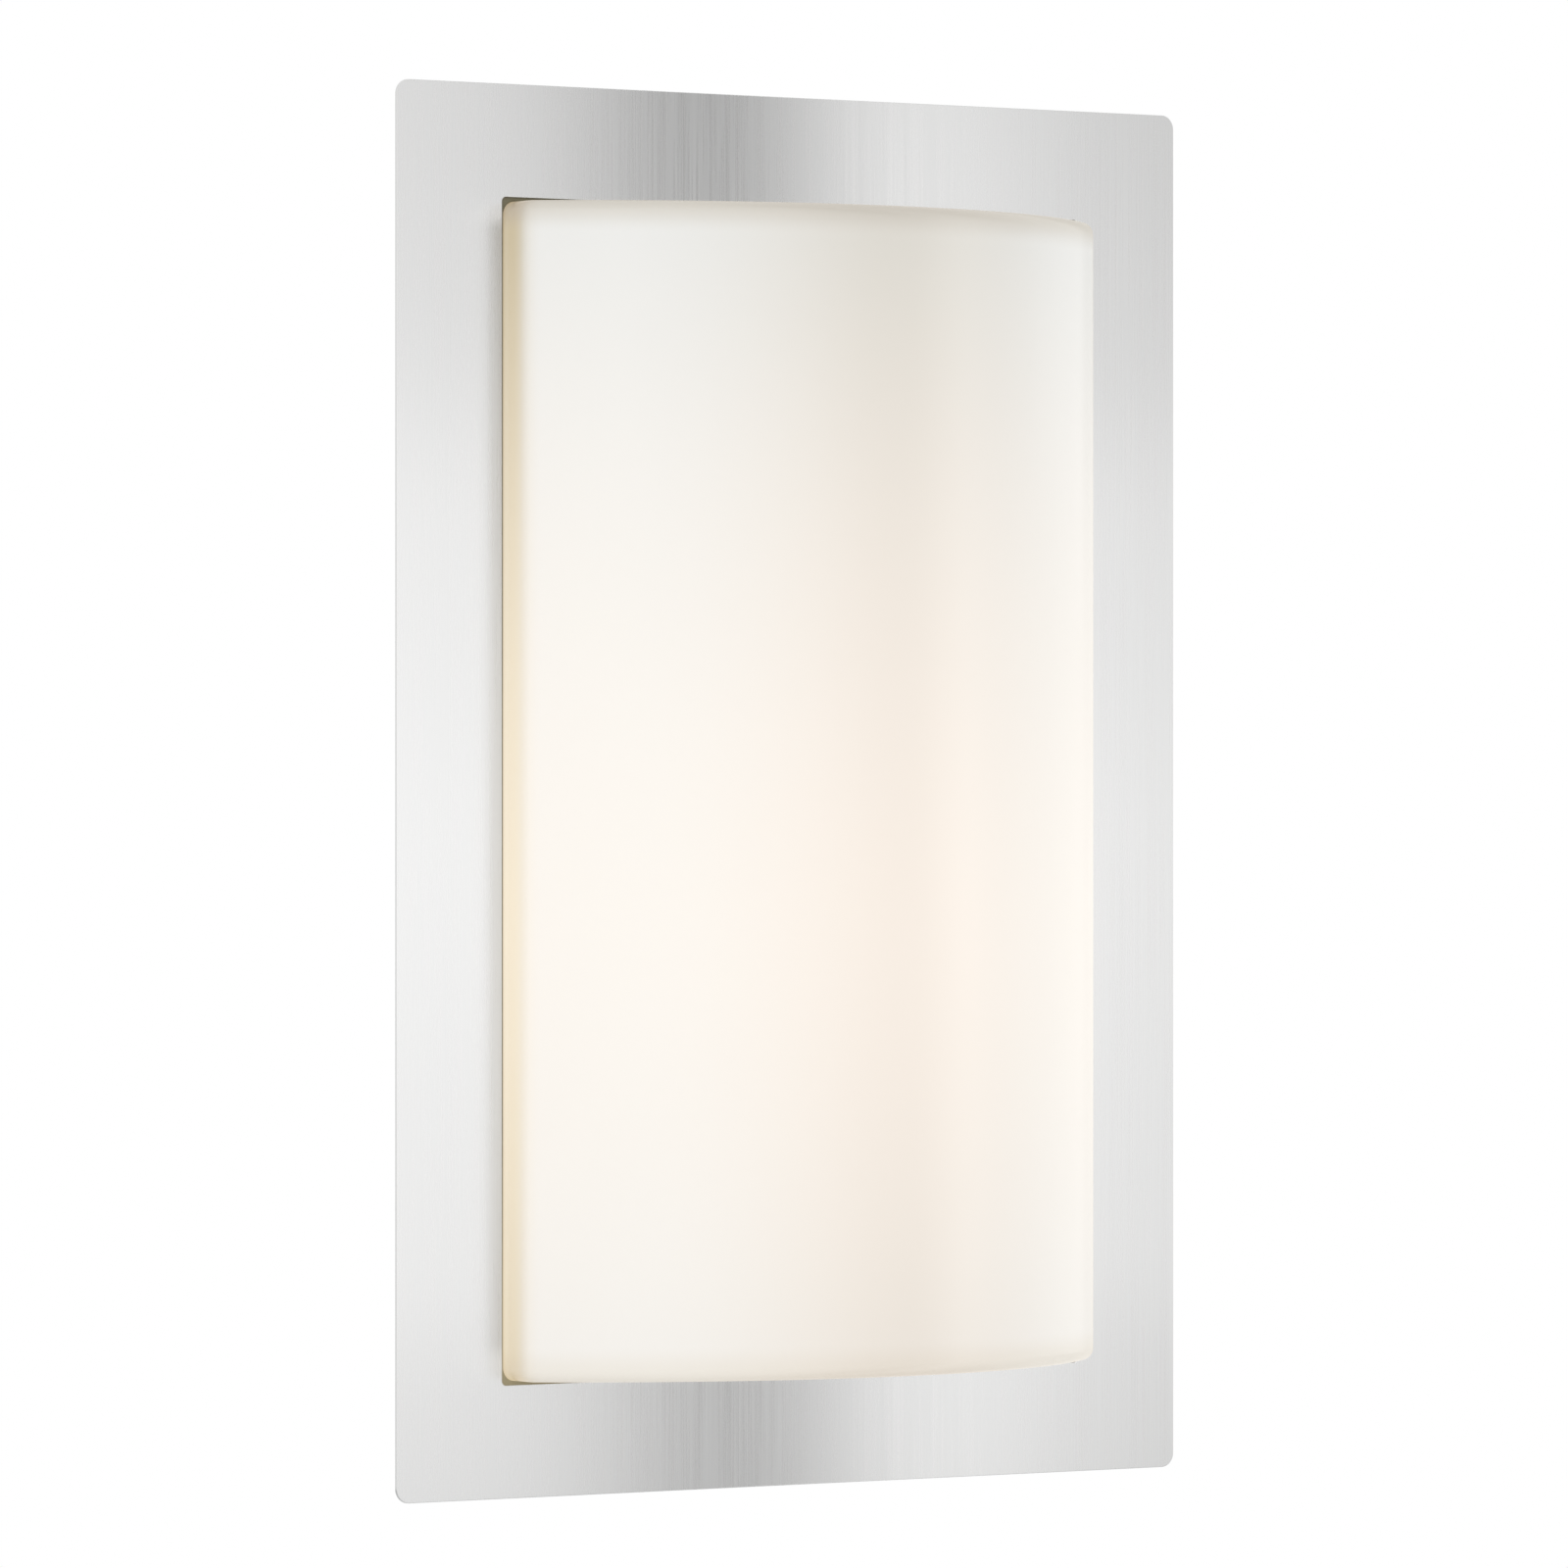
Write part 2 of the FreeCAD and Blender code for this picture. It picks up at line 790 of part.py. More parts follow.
def make_clip_studs():
    """Studs welded to the back of the plate, one through each clip."""
    master = new_body("clip_stud")
    circle = new_sketch(master, "XZ_Plane", plate_back)
    draw_circle(circle, dim("clip_stud_offset"), 0, dim("clip_stud_radius"))
    pad(master, circle, dim("clip_stud_length"), reverse=True)
    return group_of("clip_studs", master, clip_places())


def make_clip_nuts():
    """Hexagon nuts on the clip studs."""
    master = new_body("clip_nut")
    outline = new_sketch(master, "XZ_Plane", plate_back - dim("clip_sheet"))
    draw_hexagon(outline, dim("clip_stud_offset"), 0, dim("clip_nut_flats"))
    draw_circle(outline, dim("clip_stud_offset"), 0, dim("clip_stud_radius"))
    pad(master, outline, dim("clip_nut_thickness"), reverse=True)
    return group_of("clip_nuts", master, clip_places())


def hinge_places():
    """The two hinge points, left and right."""
    return [{"across": side * dim("hinge_spacing") / 2} for side in (-1, 1)]


def make_frame_hooks():
    """Strips welded to the plate and bent over the hinge pins, open below to lift off."""
    master = new_body("frame_hook")
    section = new_sketch(master, "YZ_Plane")
    inner = dim("hinge_pin_radius") + dim("hinge_clearance")
    outer = inner + dim("hook_strip")
    middle = dim("hinge_height")
    foot = pan_top + dim("rim_seal_cheek") + dim("hook_above_seal")
    lip = middle - dim("hook_lip")
    front = -hinge_depth - outer
    sides = (
        ((front, middle), (front, foot)),
        ((front, foot), (front + dim("hook_strip"), foot)),
        ((front + dim("hook_strip"), foot), (-hinge_depth - inner, middle)),
        ((-hinge_depth + inner, middle), (-hinge_depth + inner, lip)),
        ((-hinge_depth + inner, lip), (-hinge_depth + outer, lip)),
        ((-hinge_depth + outer, lip), (-hinge_depth + outer, middle)),
    )
    for start, end in sides:
        section.addGeometry(Part.LineSegment(point(*start), point(*end)))
    centre = point(-hinge_depth, middle)
    over = add_arc(section, centre, outer.value, 0, 180)
    under = add_arc(section, centre, inner.value, 0, 180)
    for first, second in ((0, 1), (1, 2), (3, 4), (4, 5)):
        section.addConstraint(Sketcher.Constraint("Coincident", first, 2, second, 1))
    section.addConstraint(Sketcher.Constraint("Coincident", over, 2, 0, 1))
    section.addConstraint(Sketcher.Constraint("Coincident", over, 1, 5, 2))
    section.addConstraint(Sketcher.Constraint("Coincident", under, 2, 2, 2))
    section.addConstraint(Sketcher.Constraint("Coincident", under, 1, 3, 1))
    section.addConstraint(Sketcher.Constraint("Coincident", over, 3, under, 3))
    tie_point(section, over, 3, -hinge_depth, middle)
    tie(section, "Radius", over, outer)
    tie(section, "Radius", under, inner)
    tie_point(section, 1, 1, front, foot)
    tie_point(section, 2, 1, front + dim("hook_strip"), foot)
    tie_point(section, 4, 1, -hinge_depth + inner, lip)
    tie_point(section, 5, 1, -hinge_depth + outer, lip)
    tie(section, "DistanceY", 0, 1, middle)
    tie(section, "DistanceY", 2, 2, middle)
    tie(section, "DistanceY", 3, 1, middle)
    tie(section, "DistanceY", 5, 2, middle)
    pad(master, section, dim("hook_width"), symmetric=True)
    return group_of("frame_hooks", master, hinge_places())


def make_latch_lug():
    """Angle at the foot of the plate whose slot slides under the locking screw's washer."""
    body = new_body("latch_lug")
    section = new_sketch(body, "YZ_Plane")
    low = lug_top - dim("lug_leg")
    rear = -plate_back + dim("lug_reach")
    shelf = lug_top - dim("lug_sheet")
    corners = [
        (-plate_back, lug_top),
        (-plate_back, low),
        (-plate_back + dim("lug_sheet"), low),
        (-plate_back + dim("lug_sheet"), shelf),
        (rear, shelf),
        (rear, lug_top),
    ]
    draw_outline(section, corners)
    angle = pad(body, section, dim("lug_width"), symmetric=True)

    def is_heel(edge):
        box = edge.BoundBox
        along = box.XLength > dim("lug_width").value - TINY
        high = abs(box.ZMin - lug_top.value) < 1e-4
        return along and high and abs(box.YMin + plate_back.value) < 1e-4

    fillet(body, angle, edges_of(angle, is_heel), dim("lug_sheet"))
    notch = new_sketch(body, "XY_Plane", lug_top)
    half = dim("screw_slot_width") / 2
    draw_box(notch, -half, half, -dim("lock_depth"), rear + 1)
    pocket(body, notch, dim("lug_sheet") * 2)
    seat = new_sketch(body, "XY_Plane", lug_top)
    draw_circle(seat, 0, -dim("lock_depth"), half)
    pocket(body, seat, dim("lug_sheet") * 2)
    return keep(body)


# ---------------------------------------------------------------- wall side


def make_wall_pan():
    """Pressed steel pan: a flat floor, sides that flare to a straight collar, open in front."""
    body = new_body("wall_pan")
    back = dim("pan_back")
    shoulder = dim("pan_shoulder")
    width = dim("pan_front_width")
    height = dim("pan_front_height")
    spread = width - dim("pan_back_width")
    slope = spread / 2 / (shoulder - back)
    wall = dim("pan_sheet") * root(slope * slope + 1)
    floor_growth = 2 * (dim("pan_sheet") * slope - wall)
    inner_width = width - 2 * dim("pan_sheet")
    inner_height = height - 2 * dim("pan_sheet")
    inner_corner = dim("pan_front_corner") - dim("pan_sheet")
    floor_width = dim("pan_back_width") + floor_growth
    inner_shoulder = floor_front + (inner_width - floor_width) / 2 / slope
    outside = (
        (back, dim("pan_back_width"), dim("pan_back_height"), dim("pan_back_corner")),
        (shoulder, width, height, dim("pan_front_corner")),
    )
    inside = (
        (
            floor_front,
            floor_width,
            dim("pan_back_height") + floor_growth,
            dim("pan_back_corner") - dim("pan_sheet"),
        ),
        (inner_shoulder, inner_width, inner_height, inner_corner),
    )
    loft(body, "AdditiveLoft", outside)
    collar = new_sketch(body, "XZ_Plane", shoulder)
    draw_rounded_rectangle(collar, width, height, dim("pan_front_corner"))
    block = pad(body, collar, dim("pan_rim") - shoulder)
    names = edges_of(block, lambda edge: at_depth(edge, back.value))
    fillet(body, block, names, dim("pan_back_round"))
    hollow = loft(body, "SubtractiveLoft", inside)
    names = edges_of(hollow, lambda edge: at_depth(edge, floor_front.value))
    fillet(body, hollow, names, dim("pan_back_round") - dim("pan_sheet"))
    mouth = new_sketch(body, "XZ_Plane", dim("pan_rim"))
    draw_rounded_rectangle(mouth, inner_width, inner_height, inner_corner)
    pocket(body, mouth, dim("pan_rim") - inner_shoulder)
    slots = new_sketch(body, "XZ_Plane", floor_front)
    for side in (-1, 1):
        for end in (-1, 1):
            draw_slot(
                slots,
                side * dim("slot_spacing_across") / 2,
                end * dim("slot_spacing_up") / 2,
                dim("slot_length"),
                dim("slot_width"),
            )
    draw_circle(slots, 0, dim("cable_height"), dim("cable_hole_radius"))
    for side in (-1, 1):
        across = side * dim("bracket_screw_offset")
        height_up = dim("bracket_screw_height")
        draw_circle(slots, across, height_up, dim("bracket_screw_radius"))
        fixing = dim("block_across") + side * dim("pole_spacing") / 2
        draw_circle(slots, fixing, dim("block_height"), dim("small_screw_radius"))
    pocket(body, slots, dim("pan_sheet") * 2)
    screw_hole = new_sketch(body, "XY_Plane", -pan_top)
    draw_circle(screw_hole, 0, -dim("lock_depth"), dim("screw_slot_width") / 2)
    pocket(body, screw_hole, dim("pan_sheet") * 2, reverse=True)
    return keep(body)


def make_wall_gasket():
    """Foam ring between the pan and the wall."""
    body = new_body("wall_gasket")
    ring = new_sketch(body, "XZ_Plane")
    inset = dim("pan_back_round")
    width = dim("pan_back_width") - 2 * inset
    height = dim("pan_back_height") - 2 * inset
    corner = dim("pan_back_corner")
    band = dim("wall_seal_width")
    draw_rounded_rectangle(ring, width, height, corner)
    draw_rounded_rectangle(ring, width - 2 * band, height - 2 * band, corner / 2)
    pad(body, ring, dim("pan_back"))
    return keep(body)


def make_rim_seal():
    """Rubber channel pressed on the pan's front edge; the plate closes against it."""
    body = new_body("rim_seal")
    start = dim("rim_seal_front") - dim("rim_seal_depth")
    ring = new_sketch(body, "XZ_Plane", start)
    cheek = dim("rim_seal_cheek")
    inner_cheek = 2 * (cheek + dim("pan_sheet"))
    draw_rounded_rectangle(
        ring,
        dim("pan_front_width") + 2 * cheek,
        dim("pan_front_height") + 2 * cheek,
        dim("pan_front_corner") + cheek,
    )
    draw_rounded_rectangle(
        ring,
        dim("pan_front_width") - inner_cheek,
        dim("pan_front_height") - inner_cheek,
        dim("pan_front_corner") - cheek - dim("pan_sheet"),
    )
    channel = pad(body, ring, dim("rim_seal_depth"))
    front = dim("rim_seal_front").value
    names = edges_of(channel, lambda edge: at_depth(edge, front))
    chamfer(body, channel, names, cheek / 2)
    groove = new_sketch(body, "XZ_Plane", start)
    sheet_inset = 2 * dim("pan_sheet")
    draw_rounded_rectangle(
        groove, dim("pan_front_width"), dim("pan_front_height"), dim("pan_front_corner")
    )
    draw_rounded_rectangle(
        groove,
        dim("pan_front_width") - sheet_inset,
        dim("pan_front_height") - sheet_inset,
        dim("pan_front_corner") - dim("pan_sheet"),
    )
    pocket(body, groove, dim("pan_rim") - start, reverse=True)
    return keep(body)


def make_cable_grommet():
    """Rubber grommet in the pan floor that the supply cable comes through."""
    body = new_body("cable_grommet")
    section = new_sketch(body, "XY_Plane")
    flange = dim("grommet_flange")
    back = -dim("pan_back")
    front = -floor_front
    corners = [
        (dim("cable_bore_radius"), back + flange),
        (dim("grommet_flange_radius"), back + flange),
        (dim("grommet_flange_radius"), back),
        (dim("cable_hole_radius"), back),
        (dim("cable_hole_radius"), front),
        (dim("grommet_flange_radius"), front),
        (dim("grommet_flange_radius") - flange, front - flange),
        (dim("cable_bore_radius"), front - flange),
    ]
    draw_outline(section, corners)
    revolve(body, section)
    place(body, up=dim("cable_height"))
    return keep(body)


def make_hinge_brackets():
    """Folded brackets welded on the pan's top, with an ear each side of the hook."""
    master = new_body("hinge_bracket")
    section = new_sketch(master, "YZ_Plane")
    behind_seal = dim("ear_behind_seal")
    seal_back = dim("rim_seal_front") - dim("rim_seal_depth") - behind_seal
    nose = -hinge_depth
    rear = -dim("ear_rear")
    corners = [
        (rear, pan_top),
        (behind_seal - seal_back, pan_top),
        (-seal_back, pan_top + dim("rim_seal_cheek") + dim("ear_above_seal")),
        (nose, dim("hinge_height") - dim("ear_round")),
        (nose, dim("hinge_height") + dim("ear_round")),
        (rear - dim("ear_slope"), dim("hinge_height") - 1),
        (rear, pan_top + dim("ear_tail")),
    ]
    draw_outline(section, corners)
    width = dim("hook_width") + 2 * (dim("ear_gap") + dim("ear_sheet"))
    pad(master, section, width, symmetric=True)
    boss = new_sketch(master, "YZ_Plane")
    draw_circle(boss, nose, dim("hinge_height"), dim("ear_round"))
    pad(master, boss, width, symmetric=True)
    channel = new_sketch(master, "XZ_Plane")
    half_gap = dim("hook_width") / 2 + dim("ear_gap")
    roof = dim("hinge_height") + 2 * dim("ear_round")
    draw_box(channel, -half_gap, half_gap, pan_top + dim("ear_sheet"), roof)
    pocket(master, channel, dim("plate_front"), reverse=True)
    bore = new_sketch(master, "YZ_Plane")
    draw_circle(bore, nose, dim("hinge_height"), dim("hinge_pin_radius"))
    pocket(master, bore, 2 * width, symmetric=True)
    return group_of("hinge_brackets", master, hinge_places())


def make_hinge_pins():
    """Pins through the ears, with both ends peened over."""
    master = new_body("hinge_pin")
    section = new_sketch(master, "XZ_Plane", hinge_depth)
    half = dim("hook_width") / 2 + dim("ear_gap") + dim("ear_sheet")
    axis = dim("hinge_height")
    shank = axis + dim("hinge_pin_radius")
    head = shank + dim("pin_head")
    end = half + dim("pin_head")
    corners = [
        (-end, axis),
        (end, axis),
        (end, head),
        (half, head),
        (half, shank),
        (-half, shank),
        (-half, head),
        (-end, head),
    ]
    draw_outline(section, corners)
    axle = section.addGeometry(Part.LineSegment(point(-end, axis), point(end, axis)), True)
    section.addConstraint(Sketcher.Constraint("Coincident", axle, 1, 0, 1))
    section.addConstraint(Sketcher.Constraint("Coincident", axle, 2, 0, 2))
    turned = master.newObject("PartDesign::Revolution", "Revolution")
    turned.Profile = section
    turned.ReferenceAxis = (section, ["Axis0"])
    turned.Angle = 360.0
    doc.recompute()
    return group_of("hinge_pins", master, hinge_places())


def make_lock_block():
    """Tapped block welded under the pan that the locking screw runs in."""
    body = new_body("lock_block")
    outline = new_sketch(body, "XY_Plane", lock_face)
    half_width = dim("lock_block_width") / 2
    half_length = dim("lock_block_length") / 2
    middle = -dim("lock_depth")
    draw_box(
        outline, -half_width, half_width, middle - half_length, middle + half_length
    )
    draw_circle(outline, 0, middle, dim("screw_radius") + dim("screw_clearance"))
    pad(body, outline, dim("lock_block_height"))
    return keep(body)


def make_locking_screw():
    """Button-head screw that holds the foot of the frame, its socket facing down."""
    body = new_body("locking_screw")
    section = new_sketch(body, "XZ_Plane")
    radius = dim("screw_radius")
    tip = head_top + dim("screw_length")
    low = head_top - dim("screw_head_height")
    bevel = dim("screw_head_bevel")
    taper = dim("screw_tip_bevel")
    corners = [
        (Size.of(0), low),
        (dim("screw_head_radius") - 1.5 * bevel, low),
        (dim("screw_head_radius") - 0.4 * bevel, low + bevel),
        (dim("screw_head_radius"), head_top - bevel),
        (dim("screw_head_radius"), head_top),
        (radius, head_top),
        (radius, tip - taper),
        (radius - taper, tip),
        (Size.of(0), tip),
    ]
    draw_outline(section, corners)
    revolve(body, section)
    socket = new_sketch(body, "XY_Plane", low)
    draw_hexagon(socket, 0, 0, dim("screw_socket_flats"))
    pocket(body, socket, dim("screw_socket_depth"), reverse=True)
    place(body, depth=dim("lock_depth"))
    return keep(body)


def make_locking_washer():
    """Washer that stays under the screw's head."""
    body = new_body("locking_washer")
    ring = new_sketch(body, "XY_Plane", washer_top - dim("washer_sheet"))
    draw_circle(ring, 0, -dim("lock_depth"), dim("washer_radius"))
    draw_circle(ring, 0, -dim("lock_depth"), dim("screw_radius") + dim("washer_gap"))
    pad(body, ring, dim("washer_sheet"))
    return keep(body)


# ---------------------------------------------------------------- lamp and lampholder


def make_holder_body():
    """Porcelain lampholder body, open below, with a stepped top."""
    body = new_body("lampholder_body")
    section = new_sketch(body, "XZ_Plane")
    bore = dim("shell_inner_radius") + dim("shell_sheet")
    mouth = dim("holder_mouth_height")
    corners = [
        (Size.of(0), dim("holder_floor_height")),
        (bore, dim("holder_floor_height")),
        (bore, mouth),
        (dim("holder_radius") - dim("holder_edge"), mouth),
        (dim("holder_radius"), mouth + dim("holder_edge")),
        (dim("holder_radius"), dim("holder_shoulder_height")),
        (dim("holder_top_radius"), dim("holder_shoulder_height") + dim("holder_step")),
        (dim("holder_top_radius"), dim("holder_top_height")),
        (Size.of(0), dim("holder_top_height")),
    ]
    draw_outline(section, corners)
    revolve(body, section)
    screw_holes = new_sketch(body, "XY_Plane", dim("holder_top_height"))
    for side in (-1, 1):
        across = side * dim("holder_screw_offset")
        draw_circle(screw_holes, across, 0, dim("small_screw_radius"))
    pocket(body, screw_holes, dim("holder_screw_depth"))
    place(body, depth=dim("lamp_depth"))
    return keep(body)


def make_holder_shell():
    """Sheet-metal screw shell inside the lampholder."""
    body = new_body("lampholder_shell")
    low = dim("holder_mouth_height") + 1
    ring = new_sketch(body, "XY_Plane", low)
    draw_circle(ring, 0, 0, dim("shell_inner_radius") + dim("shell_sheet"))
    draw_circle(ring, 0, 0, dim("shell_inner_radius"))
    pad(body, ring, dim("shell_length"))
    place(body, depth=dim("lamp_depth"))
    return keep(body)


def make_holder_contact():
    """Sprung centre contact tongue on the lampholder's floor."""
    body = new_body("lampholder_contact")
    section = new_sketch(body, "YZ_Plane")
    floor = dim("holder_floor_height")
    thickness = dim("tongue_sheet")
    touch = contact_tip + dim("tongue_gap")
    curl = dim("tongue_curl")
    corners = [
        (dim("tongue_foot"), floor),
        (dim("tongue_heel"), floor),
        (dim("tongue_touch"), touch + thickness),
        (-dim("tongue_tip"), touch + thickness + curl),
        (-dim("tongue_tip"), touch + curl),
        (dim("tongue_touch"), touch),
        (dim("tongue_heel") + thickness / 2, floor - thickness),
        (dim("tongue_foot"), floor - thickness),
    ]
    draw_outline(section, corners)
    pad(body, section, dim("tongue_width"), symmetric=True)
    place(body, depth=dim("lamp_depth"))
    return keep(body)


def make_holder_bracket():
    """Bent sheet bracket that carries the lampholder out from the pan floor."""
    body = new_body("lampholder_bracket")
    section = new_sketch(body, "YZ_Plane")
    wall = -floor_front
    arm_low = dim("holder_top_height")
    arm_high = arm_low + dim("bracket_sheet")
    arm_end = wall - dim("bracket_arm")
    top = arm_low + dim("bracket_leg")
    corners = [
        (wall, arm_low),
        (wall, top),
        (wall - dim("bracket_sheet"), top),
        (wall - dim("bracket_sheet"), arm_high),
        (arm_end, arm_high),
        (arm_end, arm_low),
    ]
    draw_outline(section, corners)
    angle = pad(body, section, dim("bracket_width"), symmetric=True)

    def is_bend(edge):
        box = edge.BoundBox
        along = box.XLength > dim("bracket_width").value - TINY
        low = abs(box.ZMin - arm_low.value) < 1e-4
        return along and low and abs(box.YMax - wall.value) < 1e-4

    fillet(body, angle, edges_of(angle, is_bend), dim("bracket_sheet"))
    window = new_sketch(body, "XY_Plane", arm_high)
    for side in (-1, 1):
        across = side * dim("holder_screw_offset")
        draw_circle(window, across, -dim("lamp_depth"), dim("small_screw_radius"))
    half = dim("window_width") / 2
    axis = -dim("lamp_depth")
    draw_box(window, -half, half, axis - dim("window_front"), axis + dim("window_rear"))
    pocket(body, window, dim("bracket_sheet") * 2)
    screw_holes = new_sketch(body, "XZ_Plane", floor_front + dim("bracket_sheet"))
    for side in (-1, 1):
        across = side * dim("bracket_screw_offset")
        height_up = dim("bracket_screw_height")
        draw_circle(screw_holes, across, height_up, dim("bracket_screw_radius"))
    pocket(body, screw_holes, dim("bracket_sheet") * 2)
    return keep(body)


def make_bulb_glass():
    """Hollow globe with a neck: a sphere that runs by a tangent curve into the cap."""
    body = new_body("bulb_glass")
    section = new_sketch(body, "XZ_Plane")
    centre_up = dim("lamp_light_height").value
    neck_up = dim("cap_base_height").value
    rise = neck_up - centre_up
    neck = dim("globe_neck_radius").value
    wall = dim("globe_wall").value
    globe = dim("globe_radius").value
    flare = (globe**2 - neck**2 - rise**2) / (2 * (neck - globe))
    slope = math.degrees(math.atan2(rise, neck + flare))
    globe_centre = FreeCAD.Vector(0, centre_up, 0)
    flare_centre = FreeCAD.Vector(neck + flare, neck_up, 0)
    outer = add_arc(section, globe_centre, globe, -90, slope)
    outer_neck = add_arc(section, flare_centre, flare, 180, 180 + slope)
    inner = add_arc(section, globe_centre, globe - wall, -90, slope)
    inner_neck = add_arc(section, flare_centre, flare + wall, 180, 180 + slope)
    lip = section.addGeometry(
        Part.LineSegment(point(neck, neck_up), point(neck - wall, neck_up))
    )
    pole = section.addGeometry(
        Part.LineSegment(point(0, centre_up - globe), point(0, centre_up - globe + wall))
    )
    for arc, curve in ((outer, outer_neck), (inner, inner_neck)):
        section.addConstraint(Sketcher.Constraint("Tangent", arc, 2, curve, 2))
        tie_point(section, arc, 3, 0, dim("lamp_light_height"))
        section.addConstraint(Sketcher.Constraint("PointOnObject", arc, 1, -2))
        tie(section, "DistanceY", curve, 1, dim("cap_base_height"))
        tie(section, "DistanceY", curve, 3, dim("cap_base_height"))
    tie(section, "Radius", outer, dim("globe_radius"))
    tie(section, "Radius", inner, dim("globe_radius") - dim("globe_wall"))
    tie(section, "DistanceX", outer_neck, 1, dim("globe_neck_radius"))
    tie(section, "DistanceX", inner_neck, 1, dim("globe_neck_radius") - dim("globe_wall"))
    section.addConstraint(Sketcher.Constraint("Coincident", lip, 1, outer_neck, 1))
    section.addConstraint(Sketcher.Constraint("Coincident", lip, 2, inner_neck, 1))
    section.addConstraint(Sketcher.Constraint("Coincident", pole, 1, outer, 1))
    section.addConstraint(Sketcher.Constraint("Coincident", pole, 2, inner, 1))
    revolve(body, section)
    place(body, depth=dim("lamp_depth"))
    return keep(body)


def turned_piece(label, corners):
    """A node turned about the lamp's axis from a closed outline of radius and height."""
    body = new_body(label)
    section = new_sketch(body, "XZ_Plane")
    draw_outline(section, corners)
    revolve(body, section)
    place(body, depth=dim("lamp_depth"))
    return keep(body)


def make_bulb_cap():
    """Screw cap of the lamp with the collar that grips the glass."""
    base = dim("cap_base_height")
    collar = base + dim("cap_collar")
    corners = [
        (Size.of(0), base),
        (dim("cap_collar_radius"), base),
        (dim("cap_collar_radius"), collar - dim("cap_collar_bevel")),
        (dim("cap_radius"), collar),
        (dim("cap_radius"), cap_tip - dim("cap_shoulder")),
        (dim("cap_radius") - dim("cap_shoulder"), cap_tip),
        (Size.of(0), cap_tip),
    ]
    return turned_piece("bulb_cap", corners)


def make_bulb_insulator():
    """Glass cone between the lamp's cap and its centre contact."""
    corners = [
        (Size.of(0), cap_tip),
        (dim("cap_insulator_radius"), cap_tip),
        (dim("cap_contact_radius") + 1, contact_base),
        (Size.of(0), contact_base),
    ]
    return turned_piece("bulb_insulator", corners)


def make_bulb_contact():
    """Centre contact of the lamp."""
    corners = [
        (Size.of(0), contact_base),
        (dim("cap_contact_radius"), contact_base),
        (dim("cap_contact_radius") - 1, contact_tip),
        (Size.of(0), contact_tip),
    ]
    return turned_piece("bulb_contact", corners)


# ---------------------------------------------------------------- screws, terminals and wires


def make_slotted_screws(label, role, shank, head, towards, places):
    """A group of slotted cheese-head screws that share one master.

    The head's seat is the master's zero. On XY_Plane the screw lies along Y, on XZ_Plane
    along Z, and its shank runs the way that towards gives, +1 or -1. shank and head are each
    a radius and a length.
    """
    radius, length = (Size.of(size) for size in shank)
    head_radius, head_height = (Size.of(size) for size in head)
    master = new_body(f"{label}_one")
    section = new_sketch(master, role)
    bevel = head_height / 4
    corners = [
        (Size.of(0), -towards * head_height),
        (head_radius - bevel, -towards * head_height),
        (head_radius, -towards * (head_height - bevel)),
        (head_radius, Size.of(0)),
        (radius, Size.of(0)),
        (radius, towards * length),
        (Size.of(0), towards * length),
    ]
    draw_outline(section, corners)
    revolve(master, section)
    crown = "XZ_Plane" if role == "XY_Plane" else "XY_Plane"
    cut = new_sketch(master, crown, head_height)
    half = dim("slot_cut") / 2
    draw_box(cut, -half, half, -head_radius - 1, head_radius + 1)
    pocket(master, cut, head_height / 2)
    return group_of(label, master, places)


def make_holder_screws():
    """Screws that hold the lampholder under the bracket's arm."""
    seat = dim("holder_top_height") + dim("bracket_sheet")
    places = [
        {
            "across": side * dim("holder_screw_offset"),
            "depth": dim("lamp_depth"),
            "up": seat,
        }
        for side in (-1, 1)
    ]
    shank = (dim("small_screw_radius"), dim("bracket_sheet") + dim("holder_screw_depth"))
    head = (dim("small_head_radius"), dim("small_head_height"))
    return make_slotted_screws("lampholder_screws", "XZ_Plane", shank, head, -1, places)


def make_bracket_screws():
    """Screws that hold the bracket to the pan floor."""
    seat = floor_front + dim("bracket_sheet")
    places = [
        {
            "across": side * dim("bracket_screw_offset"),
            "depth": seat,
            "up": dim("bracket_screw_height"),
        }
        for side in (-1, 1)
    ]
    shank = (dim("bracket_screw_radius"), seat - dim("screw_wall_gap"))
    head = (dim("bracket_head_radius"), dim("bracket_head_height"))
    return make_slotted_screws("bracket_screws", "XY_Plane", shank, head, 1, places)


def make_block_screws():
    """Screws that hold the terminal block to the pan floor."""
    seat = floor_front + dim("web_depth")
    places = [
        {
            "across": dim("block_across") + side * dim("pole_spacing") / 2,
            "depth": seat,
            "up": dim("block_height"),
        }
        for side in (-1, 1)
    ]
    shank = (dim("small_screw_radius"), seat - dim("screw_wall_gap"))
    head = (dim("small_head_radius"), dim("small_head_height"))
    return make_slotted_screws("block_screws", "XY_Plane", shank, head, 1, places)


def pole_places():
    """Across positions of the terminal block's three poles."""
    return [dim("block_across") + side * dim("pole_spacing") for side in (-1, 0, 1)]


